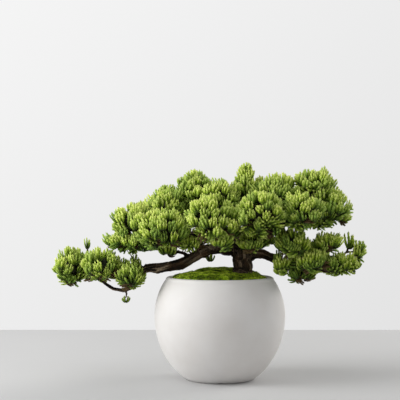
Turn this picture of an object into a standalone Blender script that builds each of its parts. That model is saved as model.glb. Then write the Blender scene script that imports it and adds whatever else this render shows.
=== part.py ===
"""A juniper bonsai growing in a round white pot, in metres, +Z up.

The origin is the middle of the pot's flat base, the front faces -Y and the crown is widest along X.
The pot, its drainage, the soil and the moss are turned or cushion shapes. The tree's wood is one grown
solid, and each foliage pad is a lump that the twigs run into.
"""

import math
import random
from typing import NamedTuple

import bmesh
import bpy
from mathutils import Matrix, Vector, noise

MM = 0.001

# Driving dimensions.
POT_RADIUS = 0.080
POT_HEIGHT = 0.125
POT_WALL = 0.006
POT_FLOOR = 0.008
SPREAD = 1.0  # how far the tree reaches sideways, against its drawn size on a pot of DRAWN_POT_RADIUS
RISE = 1.0  # how tall it stands above the pot, against its drawn size
LIMB_GIRTH = 1.0  # how thick every limb is, against its drawn size
GAP = 0.00035  # what stands between pieces that touch
PAD_GAP = 0.0006  # the same between foliage pads, whose facets are coarser

# The pot's outline: two half ellipses that meet at the belly.
DRAWN_POT_RADIUS = 0.080
BELLY_SHARE = 0.616  # height of the widest point, of the pot's height
LOWER_REACH = 1.162  # vertical half axis under the belly, of the belly's height
UPPER_REACH = 1.677  # vertical half axis over the belly, of the height left above it
BASE_ROUNDING = 0.0012
FLOOR_ROUNDING = 0.009
POT_SEGMENTS = 36
SIDE_POINTS = 8
LIP_POINTS = 5

# Drainage.
HOLE_RADIUS = 0.0045
HOLE_CIRCLE = 0.0185
HOLE_COUNT = 3
HOLE_SIDES = 16
GROOVE_DEPTH = 0.0014
GROOVE_WIDTH = 0.005
SCREEN_RADIUS = 0.029
SCREEN_THICKNESS = 0.0012
SCREEN_PITCH = 0.0072
SCREEN_OPENING = 0.0048
SCREEN_EDGE = 0.0022
GRAVEL_DEPTH = 0.018
FILL_CROWN = 0.0015  # how far the gravel's top rises in the middle

# Soil and moss, heights measured from the pot's rim.
SOIL_EDGE_DROP = 0.0075
SOIL_CROWN_RISE = 0.002
TRUNK_X = 0.35 * POT_RADIUS

PLAN = SPREAD * POT_RADIUS / DRAWN_POT_RADIUS


class Limb(NamedTuple):
    """A tapering limb: stations are (x, y, z, radius) in mm from the trunk's foot at the rim's height."""

    name: str
    stations: tuple
    rings: int = 4  # bevel_resolution of its tube


class Pad(NamedTuple):
    """A foliage pad: centre and half sizes in mm from the trunk's foot at the rim's height."""

    name: str
    centre: tuple
    half: tuple
    detail: int = 3  # cuts along each edge of the cube that its surface is blown up from
    lumps: float = 0.26  # how far its lumps stand out, of its radius


class Cushion(NamedTuple):
    """A moss cushion: centre and half sizes in mm from the middle of the pot's mouth."""

    name: str
    centre: tuple
    half: tuple


TRUNK = Limb(
    "trunk",
    (
        (0.0, 0.0, -20.0, 9.5),
        (0.0, 0.0, -8.0, 12.5),
        (0.0, 0.0, 3.0, 13.2),
        (0.5, 0.0, 12.0, 11.9),
        (-0.5, -0.5, 22.0, 11.4),
        (-1.5, 0.0, 31.0, 10.6),
        (-2.0, 0.5, 40.0, 7.4),
    ),
    4,
)

LIMBS = (
    Limb(
        "left_arm",
        (
            (1.0, 0.0, 24.0, 8.0),
            (-12.0, -2.0, 32.0, 7.0),
            (-26.0, -5.0, 33.5, 6.4),
            (-41.0, -8.0, 33.0, 6.2),
            (-53.0, -9.0, 29.0, 6.3),
            (-62.0, -9.0, 23.0, 6.5),
            (-76.0, -9.0, 16.0, 6.2),
            (-90.0, -8.0, 12.5, 6.4),
            (-104.0, -7.0, 11.5, 6.7),
            (-117.0, -5.0, 11.0, 6.0),
            (-126.0, -4.0, 6.0, 4.4),
            (-131.0, -4.0, -5.0, 3.2),
            (-137.0, -5.0, -13.0, 2.8),
            (-146.0, -5.0, -16.5, 2.4),
            (-158.0, -4.0, -14.5, 2.1),
            (-169.0, -3.0, -8.0, 1.9),
            (-180.0, -3.0, 2.0, 1.6),
        ),
        3,
    ),
    Limb(
        "low_left_twig",
        (
            (-114.0, -5.0, 11.0, 4.2),
            (-128.0, -2.0, 11.5, 3.0),
            (-148.0, 0.0, 9.5, 2.5),
            (-173.0, 2.0, 11.5, 2.2),
            (-192.0, 2.0, 14.0, 1.9),
            (-208.0, 0.0, 15.0, 1.6),
            (-217.0, 0.0, 22.0, 1.3),
        ),
        2,
    ),
    Limb(
        "low_left_end_twig",
        (
            (-192.0, 2.0, 14.0, 1.7),
            (-202.0, -2.0, 4.0, 1.5),
            (-212.0, -3.0, -1.0, 1.2),
        ),
        2,
    ),
    Limb(
        "low_left_back_twig",
        (
            (-148.0, 0.0, 9.5, 2.1),
            (-162.0, 15.0, 7.0, 1.8),
            (-177.0, 29.0, 6.0, 1.3),
        ),
        2,
    ),
    Limb("lone_tuft_twig", ((-189.0, 2.0, 13.5, 1.5), (-190.0, 4.0, 26.0, 1.2), (-191.0, 5.0, 39.0, 1.0)), 2),
    Limb(
        "under_tuft_twig",
        (
            (-143.0, -5.0, -16.0, 1.6),
            (-142.0, -3.0, -21.0, 1.2),
            (-143.0, -2.0, -26.0, 0.9),
        ),
        2,
    ),
    Limb("arm_top_twig", ((-122.0, -4.0, 10.0, 1.9), (-129.0, 0.0, 16.0, 1.4), (-132.0, 2.0, 21.0, 1.0)), 2),
    Limb("arm_stub_twig", ((-50.0, -8.5, 30.0, 3.4), (-51.0, -8.0, 25.0, 1.9), (-42.0, -5.5, 24.5, 1.2)), 2),
    Limb(
        "upper_left_twig",
        (
            (-62.0, -9.0, 24.0, 3.0),
            (-73.0, -8.0, 29.5, 2.2),
            (-90.0, -8.0, 33.0, 2.0),
            (-112.0, -8.0, 35.0, 1.8),
            (-127.0, -7.0, 39.0, 1.4),
        ),
        2,
    ),
    Limb(
        "leader_left",
        (
            (-2.0, 0.0, 32.0, 6.4),
            (-8.0, 2.0, 50.0, 4.6),
            (-10.0, 4.0, 68.0, 3.6),
            (-6.0, 5.0, 90.0, 2.8),
            (3.0, 5.0, 113.0, 1.8),
        ),
        3,
    ),
    Limb(
        "leader_right",
        (
            (2.0, 0.0, 32.0, 6.0),
            (6.0, -2.0, 49.0, 4.2),
            (11.0, -4.0, 64.0, 3.4),
            (20.0, -4.0, 82.0, 2.6),
            (33.0, -1.0, 101.0, 1.8),
        ),
        3,
    ),
    Limb(
        "crown_left_limb",
        (
            (-8.0, 2.0, 50.0, 4.4),
            (-26.0, 1.0, 62.0, 3.6),
            (-50.0, 0.0, 73.0, 3.0),
            (-73.0, 4.0, 80.0, 2.5),
            (-94.0, 6.0, 85.0, 1.7),
        ),
        3,
    ),
    Limb(
        "crown_left_end_twig",
        (
            (-72.0, 4.0, 79.5, 2.3),
            (-102.0, 5.0, 74.0, 2.0),
            (-128.0, 3.0, 70.0, 1.6),
            (-147.0, 4.0, 66.0, 1.2),
        ),
        2,
    ),
    Limb("top_left_twig", ((-50.0, 0.0, 73.0, 2.4), (-56.0, 6.0, 88.0, 1.9), (-60.0, 11.0, 103.0, 1.4)), 2),
    Limb(
        "centre_top_twig",
        (
            (-26.0, 1.0, 62.0, 2.6),
            (-30.0, -6.0, 79.0, 2.0),
            (-31.0, -11.0, 95.0, 1.4),
        ),
        2,
    ),
    Limb(
        "front_left_limb",
        (
            (-2.0, -3.0, 36.0, 5.0),
            (-22.0, -22.0, 47.0, 3.8),
            (-46.0, -34.0, 53.0, 3.0),
            (-74.0, -37.0, 55.0, 2.3),
            (-100.0, -36.0, 56.0, 1.6),
        ),
        3,
    ),
    Limb(
        "centre_front_twig",
        (
            (-22.0, -22.0, 47.0, 2.8),
            (-32.0, -39.0, 56.0, 2.2),
            (-38.0, -54.0, 66.0, 1.5),
        ),
        2,
    ),
    Limb(
        "front_low_twig",
        (
            (-22.0, -22.0, 47.0, 2.2),
            (-25.0, -43.0, 45.0, 1.7),
            (-27.0, -60.0, 45.0, 1.2),
        ),
        2,
    ),
    Limb(
        "right_arm",
        (
            (3.0, 0.0, 22.0, 7.8),
            (14.0, -1.0, 27.0, 6.9),
            (26.0, -2.0, 27.0, 6.4),
            (38.0, -4.0, 22.0, 5.9),
            (52.0, -5.0, 14.0, 4.9),
            (70.0, -5.0, 11.0, 3.8),
            (100.0, -4.0, 8.0, 2.7),
            (124.0, -2.0, 12.0, 2.0),
            (139.0, 0.0, 20.0, 1.4),
        ),
        3,
    ),
    Limb("hanging_twig", ((50.0, -5.0, 15.0, 2.0), (48.0, -14.0, 17.0, 1.7), (46.0, -22.0, 20.0, 1.3)), 2),
    Limb("low_inner_twig", ((68.0, -5.0, 11.5, 2.4), (76.0, -11.0, 16.0, 2.0), (81.0, -15.0, 20.0, 1.4)), 2),
    Limb("low_top_twig", ((88.0, -4.0, 9.5, 2.3), (99.0, -4.0, 24.0, 1.9), (104.0, -5.0, 38.0, 1.3)), 2),
    Limb(
        "tulip_twig",
        (
            (99.0, -4.0, 8.2, 2.1),
            (118.0, -3.0, 22.0, 1.7),
            (128.0, -1.0, 31.0, 1.4),
            (131.0, 0.0, 42.0, 1.1),
        ),
        2,
    ),
    Limb("side_tuft_twig", ((127.0, -1.5, 30.0, 1.3), (136.0, -3.0, 31.0, 1.2), (142.0, -4.0, 36.0, 1.0)), 2),
    Limb("low_back_twig", ((68.0, -5.0, 11.5, 2.5), (78.0, 16.0, 18.0, 2.1), (84.0, 34.0, 24.0, 1.5)), 2),
    Limb(
        "upper_right_limb",
        (
            (4.0, 0.0, 31.0, 5.2),
            (18.0, -3.0, 42.0, 4.2),
            (34.0, -6.0, 53.0, 3.6),
            (46.0, -8.0, 62.0, 3.1),
            (64.0, -6.0, 76.0, 2.6),
            (82.0, 0.0, 90.0, 2.1),
            (84.0, 4.0, 105.0, 1.4),
        ),
        3,
    ),
    Limb("far_right_twig", ((78.0, -1.0, 87.0, 2.0), (96.0, 0.0, 88.0, 1.7), (114.0, 0.0, 84.0, 1.3)), 2),
    Limb(
        "right_front_twig",
        (
            (46.0, -8.0, 62.0, 2.5),
            (56.0, -22.0, 72.0, 2.0),
            (64.0, -33.0, 80.0, 1.4),
        ),
        2,
    ),
    Limb("right_mid_twig", ((34.0, -6.0, 53.0, 2.4), (50.0, -19.0, 54.0, 1.9), (63.0, -29.0, 55.0, 1.3)), 2),
    Limb(
        "front_limb",
        (
            (2.0, -4.0, 38.0, 4.4),
            (8.0, -22.0, 56.0, 3.2),
            (18.0, -42.0, 68.0, 2.1),
            (20.0, -52.0, 75.0, 1.5),
        ),
        3,
    ),
    Limb(
        "back_limb",
        (
            (-1.0, 4.0, 34.0, 5.2),
            (-7.0, 22.0, 52.0, 3.8),
            (-19.0, 47.0, 69.0, 2.8),
            (-27.0, 68.0, 83.0, 1.7),
        ),
        3,
    ),
    Limb("back_left_twig", ((-7.0, 22.0, 52.0, 3.2), (-45.0, 43.0, 64.0, 2.6), (-90.0, 59.0, 74.0, 1.6)), 2),
    Limb(
        "back_right_limb",
        (
            (0.0, 5.0, 38.0, 4.6),
            (17.0, 28.0, 60.0, 3.3),
            (32.0, 50.0, 77.0, 2.5),
            (39.0, 67.0, 86.0, 1.6),
        ),
        3,
    ),
    Limb(
        "back_far_right_twig",
        (
            (17.0, 28.0, 60.0, 2.8),
            (54.0, 39.0, 69.0, 2.2),
            (90.0, 48.0, 75.0, 1.5),
        ),
        2,
    ),
)

ROOT_BEARINGS = (12.0, 78.0, 148.0, 205.0, 262.0, 318.0)
ROOT_PROFILE = (  # distance from the trunk's middle, height, radius
    (4.0, 5.0, 7.0),
    (12.0, 0.0, 5.6),
    (21.0, -7.0, 4.2),
    (29.0, -22.0, 2.9),
    (33.0, -40.0, 1.7),
)

PADS = (
    Pad("pad_crown_left", (-133.0, 4.0, 64.0), (27.0, 40.0, 28.0)),
    Pad("pad_crown_left_low", (-132.0, -8.0, 44.0), (37.0, 28.0, 15.0)),
    Pad("pad_crown_left_crest", (-90.0, 10.0, 86.0), (28.0, 38.0, 25.0)),
    Pad("pad_crown_left_front", (-98.0, -44.0, 58.0), (35.0, 30.0, 26.0)),
    Pad("pad_crown_top_left", (-60.0, 12.0, 102.0), (28.0, 34.0, 25.0)),
    Pad("pad_crown_mid_low", (-64.0, -26.0, 45.0), (19.0, 20.0, 12.0), 2),
    Pad("pad_crown_centre_front", (-38.0, -56.0, 68.0), (35.0, 29.0, 29.0)),
    Pad("pad_crown_centre_top", (-28.0, -16.0, 94.0), (26.0, 32.0, 24.0)),
    Pad("pad_crown_spire", (5.0, 4.0, 110.0), (15.5, 18.0, 25.0)),
    Pad("pad_crown_front", (20.0, -54.0, 74.0), (33.0, 29.0, 30.0)),
    Pad("pad_crown_right_centre", (40.0, -2.0, 101.0), (32.0, 36.0, 25.0)),
    Pad("pad_crown_right_top", (86.0, 4.0, 104.0), (31.0, 34.0, 27.0)),
    Pad("pad_crown_far_right", (109.0, 0.0, 82.0), (27.0, 32.0, 23.0)),
    Pad("pad_crown_right_front", (67.0, -42.0, 79.0), (30.0, 29.0, 24.0)),
    Pad("pad_crown_back_left", (-92.0, 62.0, 76.0), (38.0, 32.0, 27.0)),
    Pad("pad_crown_back", (-28.0, 72.0, 86.0), (36.0, 33.0, 29.0)),
    Pad("pad_crown_back_right", (40.0, 70.0, 88.0), (36.0, 34.0, 28.0)),
    Pad("pad_crown_back_far_right", (92.0, 50.0, 76.0), (30.0, 30.0, 23.0)),
    Pad("pad_trunk_front", (11.0, -34.0, 43.0), (22.0, 16.0, 13.0), 2),
    Pad("pad_trunk_back", (12.0, 34.0, 48.0), (40.0, 18.0, 15.0), 2),
    Pad("pad_front_low", (-27.0, -62.0, 45.0), (14.0, 14.0, 13.0), 2),
    Pad("pad_right_mid", (58.0, -26.0, 42.0), (23.0, 23.0, 20.0), 2),
    Pad("pad_hanging", (46.0, -23.0, 16.0), (10.0, 11.0, 18.0), 2),
    Pad("pad_low_right_top", (103.0, -5.0, 41.0), (21.0, 22.0, 14.0), 2),
    Pad("pad_low_right_inner", (80.0, -17.0, 21.0), (27.0, 25.0, 17.0), 2),
    Pad("pad_low_right_outer", (119.0, -4.0, 15.0), (29.0, 25.0, 15.0), 2),
    Pad("pad_low_right_end", (141.0, 0.0, 25.0), (12.0, 15.0, 9.0), 2),
    Pad("pad_low_right_under", (72.0, -6.0, 2.0), (19.0, 15.0, 8.0), 2),
    Pad("pad_low_right_back", (86.0, 38.0, 27.0), (27.0, 25.0, 15.0), 2),
    Pad("tuft_tulip", (131.0, 0.0, 45.0), (6.5, 6.5, 9.0), 1, 0.08),
    Pad("tuft_side", (143.0, -4.0, 39.0), (6.5, 6.5, 5.5), 1, 0.08),
    Pad("pad_low_left_end", (-210.5, -1.0, 9.0), (20.5, 23.0, 26.0)),
    Pad("pad_low_left_main", (-173.0, -6.0, 13.5), (29.0, 28.0, 20.0)),
    Pad("pad_low_left_inner", (-138.0, -9.0, 3.0), (24.0, 24.0, 19.0), 2),
    Pad("pad_low_left_back", (-178.0, 34.0, 6.0), (28.0, 21.0, 16.0), 2),
    Pad("pad_arm_low", (-92.0, -13.0, 31.0), (15.0, 13.0, 7.0), 2),
    Pad("tuft_lone", (-191.0, 5.0, 41.0), (4.0, 4.0, 6.0), 1, 0.08),
    Pad("tuft_arm_top", (-133.0, 3.0, 22.0), (5.0, 6.0, 4.5), 1, 0.08),
    Pad("tuft_arm_stub", (-40.0, -5.0, 25.0), (6.0, 6.0, 5.0), 1, 0.08),
    Pad("tuft_under", (-143.0, -2.0, -27.0), (5.0, 5.0, 3.6), 1, 0.08),
)
PAD_UNDERSIDE = 0.82  # how deep a pad hangs under its middle, against how high it stands over it
LUMP_SIZE = 0.014

CUSHIONS = (
    Cushion("moss_front", (-11.0, -22.0, -1.0), (44.0, 35.0, 10.5)),
    Cushion("moss_back", (6.0, 22.0, -1.0), (46.0, 35.0, 13.0)),
    Cushion("moss_right", (34.0, -8.0, -1.5), (23.5, 38.0, 7.0)),
    Cushion("moss_left", (-34.5, 4.0, -2.0), (23.5, 38.0, 8.5)),
)

WHITE_CERAMIC = (0.78, 0.765, 0.745, 1.0)
BLACK_PLASTIC = (0.025, 0.025, 0.027, 1.0)
GREY_GRAVEL = (0.26, 0.245, 0.225, 1.0)
DARK_SOIL = (0.045, 0.028, 0.017, 1.0)
MOSS_GREEN = (0.095, 0.15, 0.018, 1.0)
BARK_BROWN = (0.045, 0.026, 0.016, 1.0)
FOLIAGE_GREEN = (0.17, 0.30, 0.035, 1.0)


def clear_scene():
    """Remove every object of the startup file."""
    for thing in list(bpy.data.objects):
        bpy.data.objects.remove(thing)


def new_collection(name):
    made = bpy.data.collections.new(name)
    bpy.context.scene.collection.children.link(made)
    return made


def finish(thing, colour, roughness):
    """Give the object its own plain material."""
    material = bpy.data.materials.new(thing.name)
    material.use_nodes = True
    shader = material.node_tree.nodes["Principled BSDF"]
    shader.inputs["Base Color"].default_value = colour
    shader.inputs["Roughness"].default_value = roughness
    material.diffuse_color = colour
    thing.data.materials.clear()
    thing.data.materials.append(material)


def as_cutter(thing):
    """Make the object a helper that no render and no export reads."""
    thing.hide_render = True
    thing.display_type = "WIRE"


def object_from(bm, name, collection, location=(0.0, 0.0, 0.0), smooth=True):
    mesh = bpy.data.meshes.new(name)
    bm.to_mesh(mesh)
    bm.free()
    mesh.polygons.foreach_set("use_smooth", [smooth] * len(mesh.polygons))
    thing = bpy.data.objects.new(name, mesh)
    thing.location = location
    collection.objects.link(thing)
    return thing


def fix_diagonals(bm):
    """Split each face the same way in a piece and in its grown copy, so that the copy clears it."""
    bmesh.ops.triangulate(bm, faces=bm.faces, quad_method="FIXED", ngon_method="EAR_CLIP")


def boolean(thing, label, operation, other=None, group=None):
    modifier = thing.modifiers.new(label, "BOOLEAN")
    modifier.operation = operation
    modifier.solver = "EXACT"
    if group is None:
        modifier.object = other
    else:
        modifier.operand_type = "COLLECTION"
        modifier.collection = group
    return modifier


def turned(name, profile, collection, segments=POT_SEGMENTS):
    """Turn a (radius, height) profile about Z; it runs down the outer side."""
    bm = bmesh.new()
    verts = [bm.verts.new((radius, 0.0, height)) for radius, height in profile]
    for first, second in zip(verts, verts[1:]):
        bm.edges.new((first, second))
    thing = object_from(bm, name, collection)
    screw = thing.modifiers.new("turn", "SCREW")
    screw.steps = segments
    screw.render_steps = segments
    screw.use_merge_vertices = True
    screw.merge_threshold = 0.00005
    screw.use_smooth_shade = True
    return thing


def outer_radius(height):
    """Radius of the pot's outside at a height."""
    belly = BELLY_SHARE * POT_HEIGHT
    if height < belly:
        reach = LOWER_REACH * belly
    else:
        reach = UPPER_REACH * (POT_HEIGHT - belly)
    offset = (height - belly) / reach
    return POT_RADIUS * math.sqrt(max(0.0, 1.0 - offset * offset))


def curved_inner_radius(height):
    """Radius of the pot's inside at a height above its floor, before it is cut into facets."""
    slope = (outer_radius(height + MM) - outer_radius(height - MM)) / (2.0 * MM)
    return outer_radius(height) - POT_WALL * math.sqrt(1.0 + slope * slope)


def spread_heights(low, high, count):
    return [low + (high - low) * step / (count - 1) for step in range(count)]


def inner_wall():
    """The inner wall's corners, (radius, height) from the floor's rounding up to the lip."""
    heights = spread_heights(POT_FLOOR + FLOOR_ROUNDING, lip_foot(), SIDE_POINTS)
    return [(curved_inner_radius(height), height) for height in heights]


def inner_radius(height):
    """Radius of the faceted inner wall at a height."""
    wall = inner_wall()
    for (low_radius, low), (high_radius, high) in zip(wall, wall[1:]):
        if height <= high:
            break
    share = (height - low) / (high - low)
    return low_radius + share * (high_radius - low_radius)


def lip_points(grow=0.0):
    """The rounded lip, from inside to outside."""
    inner = curved_inner_radius(POT_HEIGHT - POT_WALL / 2.0)
    outer = outer_radius(POT_HEIGHT - POT_WALL / 2.0)
    half = (outer - inner) / 2.0 + grow
    middle = (outer + inner) / 2.0
    base = POT_HEIGHT - half + grow
    angles = [math.pi * (1.0 - step / (LIP_POINTS - 1)) for step in range(LIP_POINTS)]
    return [(middle + half * math.cos(angle), base + half * math.sin(angle)) for angle in angles]


def lip_foot():
    """Height at which the walls run into the lip."""
    return lip_points()[0][1] - 2.0 * MM


def floor_corner(inset):
    """The rounded corner between floor and inner wall, moved in and up by inset."""
    wall = inner_wall()[0][0]
    flat = (wall - FLOOR_ROUNDING - inset, POT_FLOOR + inset)
    bend = (wall - 0.3 * FLOOR_ROUNDING - inset, POT_FLOOR + 0.3 * FLOOR_ROUNDING + inset)
    return [flat, bend]


def pot_profile():
    inside = inner_wall()
    floor = [(0.0, POT_FLOOR)] + floor_corner(0.0)
    outside = [(outer_radius(z), z) for z in spread_heights(lip_foot(), 4.0 * BASE_ROUNDING, SIDE_POINTS + 2)]
    foot = outer_radius(0.0)
    base = [
        (outer_radius(BASE_ROUNDING), BASE_ROUNDING),
        (foot - 0.3 * BASE_ROUNDING, 0.3 * BASE_ROUNDING),
        (foot - BASE_ROUNDING, 0.0),
        (0.0, 0.0),
    ]
    return floor + inside + lip_points() + outside + base


def hole_bearings():
    return [math.tau * step / HOLE_COUNT + math.pi / 6.0 for step in range(HOLE_COUNT)]


def make_drains(collection):
    """Cutters for the drain holes, and for the shallow grooves that lead out under the pot."""
    bm = bmesh.new()
    for bearing in hole_bearings():
        turn = Matrix.Rotation(bearing, 4, "Z")
        hole = Matrix.Translation((HOLE_CIRCLE, 0.0, POT_FLOOR / 2.0))
        bmesh.ops.create_cone(
            bm,
            cap_ends=True,
            segments=HOLE_SIDES,
            radius1=HOLE_RADIUS,
            radius2=HOLE_RADIUS,
            depth=POT_FLOOR + 4.0 * MM,
            matrix=turn @ hole,
        )
    holes = object_from(bm, "drain_holes", collection, smooth=False)
    bm = bmesh.new()
    reach = outer_radius(0.0)
    for bearing in hole_bearings():
        size = Matrix.Diagonal((reach, GROOVE_WIDTH, 2.0 * GROOVE_DEPTH, 1.0))
        middle = Matrix.Translation((HOLE_CIRCLE + reach / 2.0, 0.0, 0.0))
        bmesh.ops.create_cube(bm, size=1.0, matrix=Matrix.Rotation(bearing, 4, "Z") @ middle @ size)
    grooves = object_from(bm, "drain_grooves", collection, smooth=False)
    for cutter in (holes, grooves):
        as_cutter(cutter)
    return holes, grooves


def make_pot(collection, helpers):
    pot = turned("pot", pot_profile(), collection)
    holes, grooves = make_drains(helpers)
    boolean(pot, "drain holes", "DIFFERENCE", holes)
    boolean(pot, "drain grooves", "DIFFERENCE", grooves)
    finish(pot, WHITE_CERAMIC, 0.55)
    return pot


def make_screen(collection, helpers):
    """A round plastic screen over the drain holes, one grid of square openings inside a plain edge."""
    low = POT_FLOOR + GAP
    profile = [
        (0.0, low + SCREEN_THICKNESS),
        (SCREEN_RADIUS, low + SCREEN_THICKNESS),
        (SCREEN_RADIUS, low),
        (0.0, low),
    ]
    screen = turned("drain_screen", profile, collection, 32)
    bm = bmesh.new()
    reach = int(SCREEN_RADIUS / SCREEN_PITCH)
    inside = SCREEN_RADIUS - SCREEN_EDGE - SCREEN_OPENING * math.sqrt(0.5)
    for column in range(-reach, reach + 1):
        for row in range(-reach, reach + 1):
            if math.hypot(column, row) * SCREEN_PITCH > inside:
                continue
            middle = Matrix.Translation((column * SCREEN_PITCH, row * SCREEN_PITCH, low))
            size = Matrix.Diagonal((SCREEN_OPENING, SCREEN_OPENING, 4.0 * SCREEN_THICKNESS, 1.0))
            bmesh.ops.create_cube(bm, size=1.0, matrix=middle @ size)
    openings = object_from(bm, "screen_openings", helpers, smooth=False)
    as_cutter(openings)
    boolean(screen, "openings", "DIFFERENCE", openings)
    finish(screen, BLACK_PLASTIC, 0.6)
    return screen


def fill_profile(low, high, top, bottom, points, grow=0.0):
    """Profile of a filling that follows the inner wall; top and bottom are its inner points."""
    sides = [(inner_radius(z) - GAP + grow, z) for z in spread_heights(high, low, points)]
    return top + sides + bottom


def gravel_top():
    return POT_FLOOR + GRAVEL_DEPTH


def make_gravel(collection):
    """The drainage layer, hollowed underneath for the screen."""
    low = POT_FLOOR + GAP
    over_screen = low + SCREEN_THICKNESS + GAP
    step = SCREEN_RADIUS + GAP
    side_low = POT_FLOOR + FLOOR_ROUNDING + GAP
    bottom = [*reversed(floor_corner(GAP)), (step, low), (step, over_screen), (0.0, over_screen)]
    high = gravel_top()
    top = [(0.0, high + FILL_CROWN)]
    gravel = turned("gravel", fill_profile(side_low, high, top, bottom, 3), collection)
    finish(gravel, GREY_GRAVEL, 0.9)
    return gravel


def soil_profile(grow=0.0):
    high = POT_HEIGHT - SOIL_EDGE_DROP + grow
    low = gravel_top() + GAP
    crown = POT_HEIGHT + SOIL_CROWN_RISE + grow
    edge = inner_radius(high)
    top = [(0.0, crown), (0.45 * edge, crown - 0.5 * MM), (0.8 * edge, (crown + high) / 2.0)]
    return fill_profile(low, high, top, [(0.0, low + FILL_CROWN)], SIDE_POINTS - 2, grow)


def make_soil(collection, roots):
    soil = turned("soil", soil_profile(), collection)
    boolean(soil, "roots", "DIFFERENCE", roots)
    finish(soil, DARK_SOIL, 0.95)
    return soil


def keep_out(helpers):
    """What the moss may not enter: the soil and the pot's wall, both grown by the gap."""
    soil = turned("soil_space", soil_profile(GAP), helpers)
    wall = [(inner_radius(z) - GAP, z) for z in spread_heights(POT_HEIGHT - 25.0 * MM, lip_foot(), 4)]
    outside = [(outer_radius(z) + GAP, z) for z in spread_heights(lip_foot(), POT_HEIGHT - 25.0 * MM, 4)]
    profile = wall + lip_points(GAP) + outside + wall[:1]
    pot = turned("pot_space", profile, helpers)
    for cutter in (soil, pot):
        as_cutter(cutter)
    return soil, pot


def tree_point(x, y, z):
    """A place given in mm from the trunk's foot at the rim's height, in metres from the origin."""
    return Vector((TRUNK_X + x * MM * PLAN, y * MM * PLAN, POT_HEIGHT + z * MM * RISE))


def tube(name, limb, grow, collection):
    """One limb as a closed mesh, swept along its stations; its own name seeds its small swellings."""
    places = [tree_point(*station[:3]) for station in limb.stations]
    swell = random.Random(limb.name)
    radii = [station[3] * MM * LIMB_GIRTH * swell.uniform(0.95, 1.06) + grow for station in limb.stations]
    places[-1] += (places[-1] - places[-2]).normalized() * grow
    curve = bpy.data.curves.new(name, "CURVE")
    curve.dimensions = "3D"
    curve.bevel_depth = 1.0
    curve.bevel_resolution = limb.rings
    curve.use_fill_caps = True
    spline = curve.splines.new("POLY")
    spline.points.add(len(places) - 1)
    for point, place, radius in zip(spline.points, places, radii):
        point.co = (*place, 1.0)
        point.radius = radius
    swept = bpy.data.objects.new(name, curve)
    collection.objects.link(swept)
    bpy.context.view_layer.update()
    mesh = bpy.data.meshes.new_from_object(swept.evaluated_get(bpy.context.evaluated_depsgraph_get()))
    world = swept.matrix_world.copy()
    bpy.data.objects.remove(swept)
    bpy.data.curves.remove(curve)
    bm = bmesh.new()
    bm.from_mesh(mesh)
    bpy.data.meshes.remove(mesh)
    bmesh.ops.remove_doubles(bm, verts=bm.verts, dist=0.00001)
    bmesh.ops.recalc_face_normals(bm, faces=bm.faces)
    fix_diagonals(bm)
    thing = object_from(bm, name, collection)
    thing.matrix_world = world
    return thing


def root_limbs():
    """The surface roots that flare from the trunk and dive into the soil."""
    limbs = []
    for index, bearing in enumerate(ROOT_BEARINGS):
        angle = math.radians(bearing)
        stations = tuple(
            (reach * math.cos(angle), reach * math.sin(angle), height, radius)
            for reach, height, radius in ROOT_PROFILE
        )
        limbs.append(Limb(f"root_{index}", stations, 2))
    return limbs


def make_wood(label, grow, collection, helpers):
    """The trunk with every limb and root grown into it."""
    group = bpy.data.collections.new(label + "_limbs")
    helpers.children.link(group)
    for limb in (*LIMBS, *root_limbs()):
        as_cutter(tube(f"{label}_{limb.name}", limb, grow, group))
    wood = tube(label, TRUNK, grow, collection)
    boolean(wood, "limbs", "UNION", group=group)
    return wood


def lump(name, half, detail, lumps, seed, grow, collection, place):
    """A closed cushion whose surface swells and sinks; grow moves it outwards along its normals."""
    bm = bmesh.new()
    bmesh.ops.create_cube(bm, size=2.0)
    bmesh.ops.subdivide_edges(bm, edges=bm.edges, cuts=detail, use_grid_fill=True)
    shift = Vector((seed * 3.7, seed * 1.9, seed * 5.3))
    for vert in bm.verts:
        direction = vert.co.normalized()
        depth = 1.0 if direction.z > 0.0 else PAD_UNDERSIDE
        spot = Vector((direction.x * half[0], direction.y * half[1], direction.z * half[2] * depth))
        swell = 1.0 + lumps * noise.noise(spot / LUMP_SIZE + shift)
        vert.co = spot * swell
    bm.normal_update()
    for vert in bm.verts:
        vert.co += vert.normal * grow
    fix_diagonals(bm)
    return object_from(bm, name, collection, place)


def keep_main_body(thing):
    """Settle the cuts into the mesh, without the crumbs that a cut can leave beside the main body."""
    bpy.context.view_layer.update()
    cut = bpy.data.meshes.new_from_object(thing.evaluated_get(bpy.context.evaluated_depsgraph_get()))
    thing.modifiers.clear()
    bm = bmesh.new()
    bm.from_mesh(cut)
    bpy.data.meshes.remove(cut)
    bm.verts.ensure_lookup_table()
    bodies = []
    seen = set()
    for vert in bm.verts:
        if vert.index in seen:
            continue
        body = []
        waiting = [vert]
        seen.add(vert.index)
        while waiting:
            here = waiting.pop()
            body.append(here)
            for edge in here.link_edges:
                other = edge.other_vert(here)
                if other.index not in seen:
                    seen.add(other.index)
                    waiting.append(other)
        bodies.append(body)
    main_body = max(bodies, key=len)
    crumbs = [vert for body in bodies if body is not main_body for vert in body]
    bmesh.ops.delete(bm, geom=crumbs, context="VERTS")
    bm.to_mesh(thing.data)
    bm.free()


def boxes_meet(first, second, margin):
    """Whether two cushions, each (place, half sizes), could overlap."""
    return all(abs(a - b) < p + q + margin for a, b, p, q in zip(first[0], second[0], first[1], second[1]))


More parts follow.
